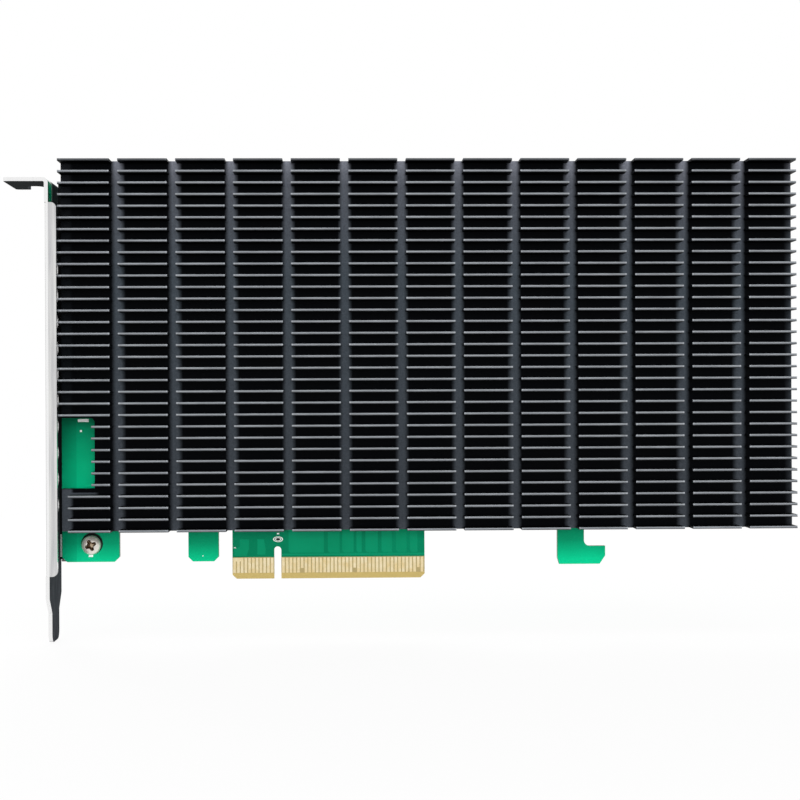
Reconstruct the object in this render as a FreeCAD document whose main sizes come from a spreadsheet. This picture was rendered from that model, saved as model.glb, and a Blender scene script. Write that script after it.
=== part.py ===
"""A full-height, single-slot adapter card that carries four NVMe drives under one cross-cut heatsink.

Frame: the origin is the middle of the key notch, on the edge that goes into the slot, at half the
board's thickness. +X runs from the bracket to the tail, +Z up to the board's top edge, and the
component side faces -Y. Lengths are millimetres. A sketch on the XZ plane has its normal along -Y,
so its height above that plane grows towards the component side.
"""

import math
import os
import re

import FreeCAD
import Part
import Sketcher

SIZES = {
    # Board outline, measured from the key notch and from the insertion edge.
    "board_thickness": 1.57,
    "board_left": 57.15,
    "board_right": 136.0,
    "board_top": 111.15,
    "board_corner": 1.0,
    "shoulder_height": 15.2,
    "foot_width": 15.15,
    "foot_bottom": 4.8,
    "foot_chamfer": 1.3,
    "stub_from": 23.75,
    "stub_width": 8.05,
    "stub_bottom": 4.75,
    "stub_chamfer": 1.2,
    "tongue_left": 12.05,
    "tongue_right": 39.2,
    "tongue_chamfer": 1.1,
    "bevel_height": 1.55,
    "bevel_depth": 0.42,
    "key_width": 1.9,
    "key_depth": 8.6,
    "round_share": 0.49,
    "hook_from": 74.85,
    "hook_stem": 7.15,
    "hook_reach": 5.7,
    "hook_bottom": 3.35,
    "hook_arm_top": 8.15,
    "hook_tip_run": 1.5,
    "hook_tip_rise": 2.2,
    "hook_toe_run": 0.5,
    "hook_toe_rise": 1.7,
    "hook_fillet": 1.6,
    # Edge contacts.
    "finger_pitch": 1.0,
    "finger_width": 0.7,
    "finger_plating": 0.05,
    "finger_bottom": 1.6,
    "finger_top": 5.6,
    "finger_first": 1.5,
    "finger_short_by": 1.2,
    "fingers_left": 11,
    "fingers_right": 38,
    "wide_pad_height": 0.9,
    # Heatsink.
    "sink_left": 55.75,
    "sink_length": 191.8,
    "sink_bottom": 13.6,
    "sink_gap": 5.9,
    "base_thickness": 2.5,
    "fin_height": 5.6,
    "fin_thickness": 0.6,
    "fin_pitch": 3.0,
    "fin_rows": 33,
    "channel_first": 13.25,
    "channel_width": 2.2,
    "channel_pitch": 14.9,
    "channel_count": 12,
    "window_width": 8.5,
    "window_bottom": 11.15,
    "window_height": 18.45,
    "window_corner": 1.2,
    "setback_width": 2.4,
    "setback_rows": 4,
    "overcut": 1.0,
    "pedestal_side": 29.0,
    "pedestal_height": 2.0,
    # Fixings between heatsink and board.
    "post_left": 40.0,
    "post_middle": 4.0,
    "post_margin": 6.0,
    "post_low": 20.2,
    "post_high": 105.0,
    "post_flats": 4.5,
    "sink_screw_radius": 1.25,
    "sink_screw_bite": 1.6,
    "sink_tap_depth": 1.9,
    "sink_screw_head_radius": 2.3,
    "sink_screw_head": 1.5,
    "thread_gap": 0.05,
    "board_hole_gap": 0.15,
    # Bracket, folded from one sheet.
    "sheet_thickness": 1.0,
    "bend_radius": 0.4,
    "bracket_gap": 0.75,
    "bracket_front": 15.5,
    "bracket_back": 2.9,
    "bare_setback": 0.3,
    "bracket_top": 105.2,
    "flange_width": 3.1,
    "flange_bottom": 2.5,
    "flange_top": 98.75,
    "flange_corner": 1.4,
    "lip_length": 10.5,
    "lip_corner": 1.0,
    "lip_notch_width": 4.42,
    "lip_notch_depth": 7.2,
    "lip_notch_from_fold": 4.4,
    "neck_top": 3.3,
    "neck_bottom": 7.3,
    "neck_front": 11.4,
    "neck_back": 0.8,
    "neck_end": 15.1,
    "neck_end_radius": 2.4,
    "ear_length": 13.2,
    "ear_height": 9.0,
    "bracket_screw_x": 49.45,
    "bracket_screw_low": 9.35,
    "bracket_screw_rise": 85.2,
    "bracket_screw_radius": 1.5,
    "bracket_screw_head_radius": 2.6,
    "bracket_screw_head": 1.9,
    "bracket_screw_beyond": 0.6,
    "recess_length": 2.9,
    "recess_width": 0.62,
    "recess_depth": 1.1,
    "vent_pitch": 4.0,
    "vent_flats": 3.0,
    "vent_low": 20.07,
    "vent_rows": 11,
    "vent_columns": 3,
    "vent_first": 2.0,
    # Drive bays.
    "bay_count": 4,
    "bay_pitch": 23.5,
    "bay_low": 27.4,
    "socket_mouth": 22.7,
    "socket_depth": 8.7,
    "socket_width": 21.9,
    "socket_height": 4.2,
    "slot_width": 20.1,
    "slot_height": 1.0,
    "slot_play": 0.1,
    "slot_depth": 5.4,
    "slot_key_offset": 6.13,
    "slot_key_width": 1.0,
    "drive_seat": 4.8,
    "drive_length": 80.0,
    "drive_raise": 2.45,
    "nut_radius": 2.75,
    "nut_bore_radius": 1.05,
    "nut_bore_depth": 2.0,
    "pad_from": 26.0,
    "pad_length": 66.0,
    "pad_width": 20.0,
    "pad_thickness": 1.0,
    # Switch package.
    "switch_x": -18.0,
    "switch_z": 62.0,
    "switch_side": 27.0,
    "switch_carrier": 1.4,
    "switch_lid_side": 24.0,
    "switch_lid_thickness": 1.5,
    "switch_lid_chamfer": 0.4,
    # Power parts.
    "coil_side": 10.0,
    "coil_height": 4.0,
    "coil_margin": 18.0,
    "coil_low": 44.0,
    "coil_spacing": 36.0,
    "small_coil_side": 6.6,
    "small_coil_height": 3.0,
    "small_coil_low": 55.0,
    "small_coil_spacing": 14.0,
    "coil_chamfer": 0.6,
    "stage_length": 5.0,
    "stage_width": 6.0,
    "stage_height": 1.0,
    "tank_length": 4.3,
    "tank_width": 7.3,
    "tank_height": 2.8,
    "tank_gap": 3.85,
    "tank_low": 34.0,
    "tank_spacing": 9.3,
    "tank_count": 6,
    "guard_side": 3.0,
    "guard_height": 0.8,
    "part_gap": 1.5,
    # Support chips.
    "flash_rise": 11.8,
    "flash_length": 5.3,
    "flash_width": 5.2,
    "flash_height": 1.8,
    "flash_leg_reach": 1.3,
    "flash_leg_rows": 4,
    "flash_leg_pitch": 1.27,
    "flash_leg_width": 0.42,
    "flash_leg_height": 0.25,
    "clock_aside": 16.0,
    "clock_rise": 8.5,
    "clock_side": 6.0,
    "clock_height": 0.9,
    "crystal_length": 3.2,
    "crystal_width": 2.5,
    "crystal_height": 0.8,
    "crystal_rise": 6.5,
    "manager_aside": 20.0,
    "manager_rise": 11.8,
    "manager_side": 7.0,
    "manager_height": 1.2,
    # Small passives.
    "ceramic_length": 2.0,
    "ceramic_width": 1.25,
    "ceramic_height": 0.9,
    "ceramic_spacing": 4.0,
    "fringe_count": 6,
    "resistor_length": 1.6,
    "resistor_width": 0.8,
    "resistor_height": 0.45,
    "resistor_spacing": 2.0,
    "flash_resistors": 4,
    "coupler_length": 0.5,
    "coupler_width": 1.0,
    "coupler_height": 0.5,
    "coupler_rise": 5.8,
    "coupler_first": 13.1,
    "coupler_pair": 0.9,
    "coupler_lane": 3.2,
    "coupler_lanes": 8,
}

FRONT = "board_thickness / 2"
SINK_BACK = f"({FRONT} + sink_gap)"
SINK_FLOOR = f"({FRONT} + sink_gap + base_thickness)"
SINK_TIPS = f"({FRONT} + sink_gap + base_thickness + fin_height)"
SINK_HEIGHT = "((fin_rows - 1) * fin_pitch + fin_thickness)"
PLATE_IN = "(-board_left - bracket_gap)"
PLATE_OUT = "(-board_left - bracket_gap - sheet_thickness)"
BRACKET_SCREW_HIGH = "(bracket_screw_low + bracket_screw_rise)"
BENT_OUTSIDE = "(bend_radius + sheet_thickness)"
DRIVE_NUT_X = "(socket_mouth - drive_seat + drive_length)"
SWITCH_TOP = "(switch_z + switch_side / 2)"
SWITCH_FRINGE = "(switch_x - switch_side / 2 - 2 * part_gap - ceramic_length)"
BESIDE_SOCKETS = "(socket_mouth - socket_depth - part_gap - ceramic_length / 2)"
GUARD_X = f"({BESIDE_SOCKETS} - ceramic_length / 2 - part_gap - guard_side / 2)"
COIL_X = "(board_right - coil_margin)"
POSTS = [
    (x, z)
    for x in ("-post_left", "-post_middle", "board_right - post_margin")
    for z in ("post_low", "post_high")
]
# Places of the short fingers in the second run, counted from its first finger.
SHORT_FINGERS = {"front": ("5", "19", "fingers_right - 2"), "back": ("7", "20", "fingers_right - 2")}
# Two places closer than this are one.
NEAR = 1e-4
EAR_SCREWS = [
    ("-bracket_screw_x", "bracket_screw_low"),
    ("-bracket_screw_x", BRACKET_SCREW_HIGH),
]

doc = FreeCAD.newDocument("nvme_adapter_card")
sheet = doc.addObject("Spreadsheet::Sheet", "Sizes")
for row, (name, size) in enumerate(SIZES.items(), start=1):
    sheet.set(f"A{row}", name)
    sheet.set(f"B{row}", str(size))
    sheet.setAlias(f"B{row}", name)
doc.recompute()


# Shared drawing helpers


def tied(text):
    """The expression with each size's name written as its cell in the sheet."""
    return re.sub(r"[a-z]\w*", lambda word: "Sizes." + word.group(), text)


def number(text):
    """The expression's value now."""
    return float(sheet.evalExpression(tied(text)))


def new_body(label):
    body = doc.addObject("PartDesign::Body", label)
    body.Label = label
    body.AllowCompound = True
    return body


def origin_part(body, role):
    return next(item for item in body.Origin.OriginFeatures if item.Role == role)


def new_sketch(body, name, plane="XZ_Plane", height="0"):
    """An empty sketch at a height along the normal of one of the body's own planes."""
    sketch = body.newObject("Sketcher::SketchObject", f"{body.Name}_{name}")
    sketch.AttachmentSupport = [(origin_part(body, plane), "")]
    sketch.MapMode = "FlatFace"
    sketch.setExpression("AttachmentOffset.Base.z", tied(height))
    return sketch


def place_point(sketch, curve, end, x, y):
    """Ties one end or centre of a curve to the sketch's origin."""
    for axis, text in (("DistanceX", x), ("DistanceY", y)):
        constraint = Sketcher.Constraint(axis, -1, 1, curve, end, number(text))
        index = sketch.addConstraint(constraint)
        sketch.setExpression(f"Constraints[{index}]", tied(text))


def draw_polygon(sketch, corners):
    """A closed outline whose corners are pairs of expressions."""
    spots = [FreeCAD.Vector(number(x), number(y), 0) for x, y in corners]
    first = sketch.GeometryCount
    for here, after in zip(spots, spots[1:] + spots[:1]):
        sketch.addGeometry(Part.LineSegment(here, after))
    for step in range(len(corners)):
        after = first + (step + 1) % len(corners)
        sketch.addConstraint(Sketcher.Constraint("Coincident", first + step, 2, after, 1))
    for step, (x, y) in enumerate(corners):
        place_point(sketch, first + step, 1, x, y)


def sketch_line(sketch, start, end):
    return sketch.addGeometry(Part.LineSegment(start, end))


def draw_box(sketch, left, bottom, right, top):
    draw_polygon(sketch, [(left, bottom), (right, bottom), (right, top), (left, top)])


def draw_square(sketch, x, y, side):
    half = f"{side} / 2"
    draw_box(sketch, f"{x} - {half}", f"{y} - {half}", f"{x} + {half}", f"{y} + {half}")


def draw_circle(sketch, x, y, radius):
    centre = FreeCAD.Vector(number(x), number(y), 0)
    circle = Part.Circle(centre, FreeCAD.Vector(0, 0, 1), number(radius))
    curve = sketch.addGeometry(circle)
    place_point(sketch, curve, 3, x, y)
    index = sketch.addConstraint(Sketcher.Constraint("Radius", curve, number(radius)))
    sketch.setExpression(f"Constraints[{index}]", tied(radius))


def draw_hexagon(sketch, x, y, flats):
    """A hexagon across its flats, with two corners above and below its centre."""
    corners = []
    for corner in range(6):
        angle = math.radians(60 * corner + 30)
        across = f"{x} + {flats} * {math.cos(angle) / math.sqrt(3):.9f}"
        up = f"{y} + {flats} * {math.sin(angle) / math.sqrt(3):.9f}"
        corners.append((across, up))
    draw_polygon(sketch, corners)


def draw_cross(sketch, x, z):
    """The outline of a cross recess, one quarter after the other."""
    arm, half = "recess_length / 2", "recess_width / 2"
    steps = [(half, arm), (half, half), (arm, half)]
    points = [(f"{x} + {across}", f"{z} + {up}") for across, up in steps]
    points += [(f"{x} + {across}", f"{z} - {up}") for across, up in reversed(steps)]
    points += [(f"{x} - {across}", f"{z} - {up}") for across, up in steps]
    points += [(f"{x} - {across}", f"{z} + {up}") for across, up in reversed(steps)]
    draw_polygon(sketch, points)


def feature(body, kind, name, sketch, length, backwards=False, both_ways=False):
    made = body.newObject(f"PartDesign::{kind}", f"{body.Name}_{name}")
    made.Profile = sketch
    made.setExpression("Length", tied(length))
    made.Reversed = backwards
    if both_ways:
        made.SideType = "Symmetric"
    return made


def pad(body, name, sketch, length, backwards=False, both_ways=False):
    return feature(body, "Pad", name, sketch, length, backwards, both_ways)


def pocket(body, name, sketch, length, backwards=False, both_ways=False):
    """A pocket, with a check that it takes material away."""
    doc.recompute()
    before = body.Shape.Volume
    made = feature(body, "Pocket", name, sketch, length, backwards, both_ways)
    doc.recompute()
    if not made.Shape.Volume < before - NEAR:
        raise RuntimeError(f"{made.Name} cuts nothing")
    return made


def pattern(body, name, original, axis, spacing, count, backwards=False):
    """Repeats a feature along one of the body's own axes."""
    made = body.newObject("PartDesign::LinearPattern", f"{body.Name}_{name}")
    made.Originals = [original]
    made.Direction = (origin_part(body, axis), [""])
    made.Mode = "Spacing"
    made.Reversed = backwards
    made.setExpression("Offset", tied(spacing))
    made.setExpression("Occurrences", tied(count))
    body.Tip = made
    return made


def edges_along(shape, axis, spots):
    """Names of the straight edges that run along an axis through the given places."""
    names = []
    for index, edge in enumerate(shape.Edges, start=1):
        if len(edge.Vertexes) != 2:
            continue
        start, end = (vertex.Point for vertex in edge.Vertexes)
        if abs(abs((end - start).normalize()[axis]) - 1) > NEAR:
            continue
        others = [start[side] for side in range(3) if side != axis]
        if any(math.dist(others, spot) < NEAR for spot in spots):
            names.append(f"Edge{index}")
    return names


def dress(body, kind, name, axis, spots, size_name, size):
    """A fillet or chamfer on straight edges picked by their places."""
    doc.recompute()
    base = body.Tip
    names = edges_along(base.Shape, axis, [[number(one) for one in spot] for spot in spots])
    if not names:
        raise RuntimeError(f"{body.Name}_{name} finds no edge")
    made = body.newObject(f"PartDesign::{kind}", f"{body.Name}_{name}")
    made.Base = (base, names)
    made.setExpression(size_name, tied(size))
    return made


def block(name, corner, sides):
    """A plain box with its low corner and sides given as expressions."""
    made = doc.addObject("Part::Box", name)
    for side, text in zip(("Length", "Width", "Height"), sides):
        made.setExpression(side, tied(text))
    for axis, text in zip("xyz", corner):
        made.setExpression(f"Placement.Base.{axis}", tied(text))
    return made


def chips(label, places, length, width, height, on_back=False):
    """Like parts on the board: each place is the middle of the part's footprint."""
    depth = FRONT if on_back else f"-{FRONT} - {height}"
    made = []
    for count, (x, z) in enumerate(places, start=1):
        corner = (f"{x} - {length} / 2", depth, f"{z} - {width} / 2")
        made.append(block(f"{label}_{count}", corner, (length, height, width)))
    group = doc.addObject("Part::Compound", label)
    group.Links = made
    group.Label = label
    return group


def bay_z(bay):
    return f"(bay_low + {bay} * bay_pitch)"


# Circuit board


def circuit_board():
    """The board with its foot, stub, keyed tongue and retention hook."""
    body = new_body("circuit_board")
    outline = new_sketch(body, "outline")
    foot_right = "(-board_left + foot_width)"
    stub_right = "(-stub_from + stub_width)"
    stem_right = "(hook_from + hook_stem)"
    tip = "(hook_from + hook_stem + hook_reach)"
    draw_polygon(outline, [
        ("-board_left", "foot_bottom + foot_chamfer"),
        ("-board_left + foot_chamfer", "foot_bottom"),
        (f"{foot_right} - foot_chamfer", "foot_bottom"),
        (foot_right, "foot_bottom + foot_chamfer"),
        (foot_right, "shoulder_height"),
        ("-stub_from", "shoulder_height"),
        ("-stub_from", "stub_bottom + stub_chamfer"),
        ("-stub_from + stub_chamfer", "stub_bottom"),
        (f"{stub_right} - stub_chamfer", "stub_bottom"),
        (stub_right, "stub_bottom + stub_chamfer"),
        (stub_right, "shoulder_height"),
        ("-tongue_left", "shoulder_height"),
        ("-tongue_left", "tongue_chamfer"),
        ("-tongue_left + tongue_chamfer", "0"),
        ("tongue_right - tongue_chamfer", "0"),
        ("tongue_right", "tongue_chamfer"),
        ("tongue_right", "shoulder_height"),
        ("hook_from", "shoulder_height"),
        ("hook_from", "hook_bottom + hook_toe_rise"),
        ("hook_from + hook_toe_run", "hook_bottom"),
        (f"{tip} - hook_tip_run", "hook_bottom"),
        (tip, "hook_bottom + hook_tip_rise"),
        (tip, "hook_arm_top"),
        (stem_right, "hook_arm_top"),
        (stem_right, "shoulder_height"),
        ("board_right", "shoulder_height"),
        ("board_right", "board_top"),
        ("-board_left", "board_top"),
    ])
    pad(body, "slab", outline, "board_thickness", both_ways=True)

    for side, sign in (("front", "-"), ("back", "")):
        bevel = new_sketch(body, f"bevel_{side}", "YZ_Plane")
        face = f"{sign}board_thickness / 2"
        inner = f"{sign}(board_thickness / 2 - bevel_depth)"
        draw_polygon(bevel, [(inner, "0"), (face, "bevel_height"), (face, "0")])
        pocket(body, f"bevel_cut_{side}", bevel, "2 * board_right", both_ways=True)

    key = new_sketch(body, "key", height=FRONT)
    draw_box(key, "-key_width / 2", "-bevel_height", "key_width / 2", "key_depth")
    pocket(body, "key_cut", key, "board_thickness")

    holes = new_sketch(body, "holes", height=FRONT)
    for x, z in EAR_SCREWS:
        draw_circle(holes, x, z, "bracket_screw_radius + board_hole_gap")
    for x, z in POSTS:
        draw_circle(holes, x, z, "sink_screw_radius + board_hole_gap")
    pocket(body, "hole_cuts", holes, "board_thickness")

    key_corners = [("-key_width / 2", "key_depth"), ("key_width / 2", "key_depth")]
    dress(body, "Fillet", "key_end", 1, key_corners, "Radius", "round_share * key_width")
    dress(body, "Fillet", "hook_root", 1, [(stem_right, "hook_arm_top")], "Radius", "hook_fillet")
    tops = [("-board_left", "board_top"), ("board_right", "board_top")]
    dress(body, "Chamfer", "top_corners", 1, tops, "Size", "board_corner")
    return body


def edge_contacts(side):
    """One side's gold fingers. The second run has three short ones, which sense the card."""
    on_front = side == "front"
    body = new_body(f"edge_contacts_{side}")
    height = FRONT if on_front else f"-{FRONT}"
    plating = "finger_plating"

    right = new_sketch(body, "right_finger", height=height)
    half = "finger_width / 2"
    draw_box(right, f"finger_first - {half}", "finger_bottom", f"finger_first + {half}", "finger_top")
    first = pad(body, "right_pad", right, plating, backwards=not on_front)
    pattern(body, "right_run", first, "X_Axis", "finger_pitch", "fingers_right")

    left = new_sketch(body, "left_finger", height=height)
    draw_box(left, f"-finger_first - {half}", "finger_bottom", f"-finger_first + {half}", "finger_top")
    last = pad(body, "left_pad", left, plating, backwards=not on_front)
    pattern(body, "left_run", last, "X_Axis", "finger_pitch", "fingers_left", backwards=True)

    if on_front:
        # The three supply fingers at the bracket end run together at the top.
        bridge = new_sketch(body, "bridge", height=height)
        end = "-finger_first - (fingers_left - 1) * finger_pitch"
        low = "finger_top - wide_pad_height"
        draw_box(bridge, f"{end} - {half}", low, f"{end} + 2 * finger_pitch + {half}", "finger_top")
        pad(body, "bridge_pad", bridge, plating)

    trims = new_sketch(body, "trims", height=height)
    for place in SHORT_FINGERS[side]:
        middle = f"finger_first + ({place}) * finger_pitch"
        low = ("finger_bottom", "finger_bottom + finger_short_by")
        draw_box(trims, f"{middle} - {half}", low[0], f"{middle} + {half}", low[1])
    pocket(body, "trim_cuts", trims, plating, backwards=on_front)
    return body


# Heatsink


def heatsink():
    """One block: a base, rows of thin fins along X, and channels cut across them."""
    body = new_body("heatsink")
    left, right = "-sink_left", "-sink_left + sink_length"
    top = f"sink_bottom + {SINK_HEIGHT}"

    base = new_sketch(body, "base", height=SINK_BACK)
    draw_box(base, left, "sink_bottom", right, top)
    pad(body, "base_pad", base, "base_thickness")

    fin = new_sketch(body, "fin", height=SINK_FLOOR)
    draw_box(fin, left, "sink_bottom", right, "sink_bottom + fin_thickness")
    lowest = pad(body, "fin_pad", fin, "fin_height")
    pattern(body, "fin_rows", lowest, "Z_Axis", "fin_pitch", "fin_rows")

    # A corner window leaves the board open to view beside the bracket.
    window = new_sketch(body, "window", height=SINK_TIPS)
    low = "sink_bottom + window_bottom"
    draw_box(window, f"{left} - overcut", low, f"{left} + window_width", f"{low} + window_height")
    pocket(body, "window_cut", window, "fin_height + base_thickness")

    setback = new_sketch(body, "setback", height=SINK_TIPS)
    over = "sink_bottom + (setback_rows - 0.5) * fin_pitch"
    draw_box(setback, f"{left} - overcut", "sink_bottom - overcut", f"{left} + setback_width", over)
    pocket(body, "setback_cut", setback, "fin_height")

    taps = new_sketch(body, "taps", height=SINK_BACK)
    for x, z in POSTS:
        draw_circle(taps, x, z, "sink_screw_radius + thread_gap")
    pocket(body, "tap_cuts", taps, "sink_tap_depth", backwards=True)

    corner = [(f"{left} + window_width", f"{low} + window_height")]
    dress(body, "Fillet", "window_round", 1, corner, "Radius", "window_corner")

    channel = new_sketch(body, "channel", height=SINK_TIPS)
    edge = f"{left} + channel_first"
    draw_box(channel, edge, "sink_bottom - fin_pitch", f"{edge} + channel_width", f"{top} + fin_pitch")
    cut = pocket(body, "channel_cut", channel, "fin_height")
    channels = pattern(body, "channels", cut, "X_Axis", "channel_pitch", "channel_count")
    channels.Refine = False
    return body


def heatsink_posts():
    """Hexagonal spacers between board and heatsink, bored right through."""
    body = new_body("heatsink_posts")
    hexes = new_sketch(body, "hexes", height=FRONT)
    for x, z in POSTS:
        draw_hexagon(hexes, x, z, "post_flats")
        draw_circle(hexes, x, z, "sink_screw_radius + thread_gap")
    pad(body, "hex_pads", hexes, "sink_gap")
    return body


def heatsink_screws():
    """Pan-head screws from the board's back, through the posts into the heatsink."""
    body = new_body("heatsink_screws")
    heads = new_sketch(body, "heads", height=f"-{FRONT}")
    shanks = new_sketch(body, "shanks", height=f"-{FRONT}")
    for x, z in POSTS:
        draw_circle(heads, x, z, "sink_screw_head_radius")
        draw_circle(shanks, x, z, "sink_screw_radius")
    pad(body, "head_pads", heads, "sink_screw_head", backwards=True)
    pad(body, "shank_pads", shanks, "board_thickness + sink_gap + sink_screw_bite")
    return body


# Bracket


def fold(body, name, plane, height, length, corner, first, second, reach, both_ways=False):
    """A folded strip of sheet, padded along its fold.

    corner is where the two outer faces would meet. The strip runs from it to reach along first,
    and far enough along second to join the sheet there. first and second are unit steps.
    """
    section = new_sketch(body, name, plane, height)
    joint = f"{BENT_OUTSIDE} + sheet_thickness"

    def spot(along, across):
        return tuple(
            f"{corner[side]} + ({first[side]}) * ({along}) + ({second[side]}) * ({across})"
            for side in (0, 1)
        )

    runs = [
        [spot(BENT_OUTSIDE, "0"), spot(reach, "0"), spot(reach, "sheet_thickness"),
         spot(BENT_OUTSIDE, "sheet_thickness")],
        [spot("sheet_thickness", BENT_OUTSIDE), spot("sheet_thickness", joint), spot("0", joint),
         spot("0", BENT_OUTSIDE)],
    ]
    ends = []
    for run in runs:
        vectors = [FreeCAD.Vector(number(x), number(y), 0) for x, y in run]
        lines = [sketch_line(section, *pair) for pair in zip(vectors, vectors[1:])]
        for here, after in zip(lines, lines[1:]):
            section.addConstraint(Sketcher.Constraint("Coincident", here, 2, after, 1))
        for line, (x, y) in zip(lines, run):
            place_point(section, line, 1, x, y)
        place_point(section, lines[-1], 2, *run[-1])
        ends.append((lines[0], lines[-1], vectors[0], vectors[-1]))

    middle = FreeCAD.Vector(*[number(one) for one in spot(BENT_OUTSIDE, BENT_OUTSIDE)], 0)
    for outside in (False, True):
        this, other = (ends[1], ends[0]) if outside else (ends[0], ends[1])
        radius = BENT_OUTSIDE if outside else "bend_radius"
        halfway = ((this[3] + other[2]) / 2 - middle).normalize() * number(radius)
        arc = section.addGeometry(Part.Arc(this[3], middle + halfway, other[2]))
        for line_end, line_start in ((this[1], 2), (other[0], 1)):
            place = section.getPoint(line_end, line_start)
            near = 1 if section.getPoint(arc, 1).isEqual(place, NEAR) else 2
            section.addConstraint(Sketcher.Constraint("Coincident", arc, near, line_end, line_start))
        index = section.addConstraint(Sketcher.Constraint("Radius", arc, number(radius)))
        section.setExpression(f"Constraints[{index}]", tied(radius))
    return pad(body, f"{name}_pad", section, length, both_ways=both_ways)


def bracket():
    """A full-height bracket folded from one sheet: plate, front flange, top lip, ears and neck."""
    body = new_body("bracket")
    front = f"(-{FRONT} - bracket_front)"
    back = f"(-{FRONT} + bracket_back)"
    ear_out = f"({FRONT} + sheet_thickness)"
    bare = f"({front} + bare_setback)"
    neck_front = f"(-{FRONT} - neck_front)"
    neck_back = f"(-{FRONT} - neck_back)"
    plate_top = f"(bracket_top - {BENT_OUTSIDE})"
    ear_edge = f"({ear_out} - {BENT_OUTSIDE})"
    ear_half = "ear_height / 2"

    # The plate stops short of its folds, which the folded strips below close.
    plate = new_sketch(body, "plate", "YZ_Plane", PLATE_OUT)
    outline = [
        (bare, plate_top),
        (bare, "flange_top"),
        (f"{front} + {BENT_OUTSIDE}", "flange_top"),
        (f"{front} + {BENT_OUTSIDE}", "flange_bottom"),
        (bare, "flange_bottom"),
        (bare, "-neck_top"),
        (neck_front, "-neck_bottom"),
        (neck_front, "-neck_end"),
        (neck_back, "-neck_end"),
        (neck_back, "-neck_bottom"),
        (back, "-neck_top"),
    ]
    for x, z in EAR_SCREWS:
        low, high = f"{z} - {ear_half}", f"{z} + {ear_half}"
        outline += [(back, low), (ear_edge, low), (ear_edge, high), (back, high)]
    outline.append((back, plate_top))
    draw_polygon(plate, outline)
    pad(body, "plate_pad", plate, "sheet_thickness")

    fold(body, "flange", "XY_Plane", "flange_bottom", "flange_top - flange_bottom",
         (PLATE_OUT, front), (1, 0), (0, 1), "flange_width")
    fold(body, "lip", "XZ_Plane", f"-{back}", f"{back} - {bare}",
         (PLATE_IN, "bracket_top"), (-1, 0), (0, -1), "lip_length + sheet_thickness")
    for place, (x, z) in enumerate(EAR_SCREWS, start=1):
        fold(body, f"ear_{place}", "XY_Plane", z, "ear_height",
             (PLATE_OUT, ear_out), (1, 0), (0, -1), "ear_length", both_ways=True)

    holes = new_sketch(body, "ear_holes", height=f"-{FRONT}")
    for x, z in EAR_SCREWS:
        draw_circle(holes, x, z, "bracket_screw_radius + thread_gap")
    pocket(body, "ear_hole_cuts", holes, "sheet_thickness")

    # The lip's notch is open towards the board's back, for the chassis screw.
    notch = new_sketch(body, "notch", "XY_Plane", "bracket_top")
    notch_in = f"({PLATE_OUT} - lip_notch_from_fold + lip_notch_width / 2)"
    notch_out = f"({PLATE_OUT} - lip_notch_from_fold - lip_notch_width / 2)"
    notch_end = f"({back} - lip_notch_depth)"
    draw_box(notch, notch_out, notch_end, notch_in, f"{back} + overcut")
    pocket(body, "notch_cut", notch, "sheet_thickness")

    notch_corners = [(notch_in, notch_end), (notch_out, notch_end)]
    dress(body, "Fillet", "notch_round", 2, notch_corners, "Radius", "round_share * lip_notch_width")
    neck_tips = [(neck_front, "-neck_end"), (neck_back, "-neck_end")]
    dress(body, "Fillet", "neck_rounds", 0, neck_tips, "Radius", "neck_end_radius")
    flange_end = f"{PLATE_OUT} + flange_width"
    flange_tips = [(flange_end, "flange_bottom"), (flange_end, "flange_top")]
    dress(body, "Fillet", "flange_rounds", 1, flange_tips, "Radius", "flange_corner")
    lip_end = f"({PLATE_OUT} - lip_length)"
    dress(body, "Fillet", "lip_rounds", 2, [(lip_end, bare), (lip_end, back)], "Radius", "lip_corner")
    vents(body)
    return body


def vents(body):
    """A staggered honeycomb of six-sided air holes through the plate."""
    for name, shift, rows in (("a", 0, "vent_rows"), ("b", 0.5, "vent_rows - 1")):
        one = new_sketch(body, f"vent_{name}", "YZ_Plane", PLATE_IN)
        across = f"-{FRONT} - vent_first - {shift} * vent_pitch"
        up = f"vent_low + {shift} * vent_pitch * {math.sqrt(3):.9f}"
        draw_hexagon(one, across, up, "vent_flats")
        cut = pocket(body, f"vent_cut_{name}", one, "sheet_thickness")
        made = pattern(body, f"vent_field_{name}", cut, "Y_Axis", "vent_pitch", "vent_columns", True)
        made.Direction2 = (origin_part(body, "Z_Axis"), [""])
        made.Mode2 = "Spacing"
        made.setExpression("Offset2", tied(f"vent_pitch * {math.sqrt(3):.9f}"))
        made.setExpression("Occurrences2", tied(rows))


def bracket_screws():
    """Pan-head screws from the component side through the board into the bracket's ears."""
    body = new_body("bracket_screws")
    heads = new_sketch(body, "heads", height=FRONT)
    shanks = new_sketch(body, "shanks", height=FRONT)
    recesses = new_sketch(body, "recesses", height=f"{FRONT} + bracket_screw_head")
    for x, z in EAR_SCREWS:
        draw_circle(heads, x, z, "bracket_screw_head_radius")
        draw_circle(shanks, x, z, "bracket_screw_radius")
        draw_cross(recesses, x, z)
    pad(body, "head_pads", heads, "bracket_screw_head")
    reach = "board_thickness + sheet_thickness + bracket_screw_beyond"
    pad(body, "shank_pads", shanks, reach, backwards=True)
    pocket(body, "recess_cuts", recesses, "recess_depth")
    return body


# Drive bays


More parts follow.
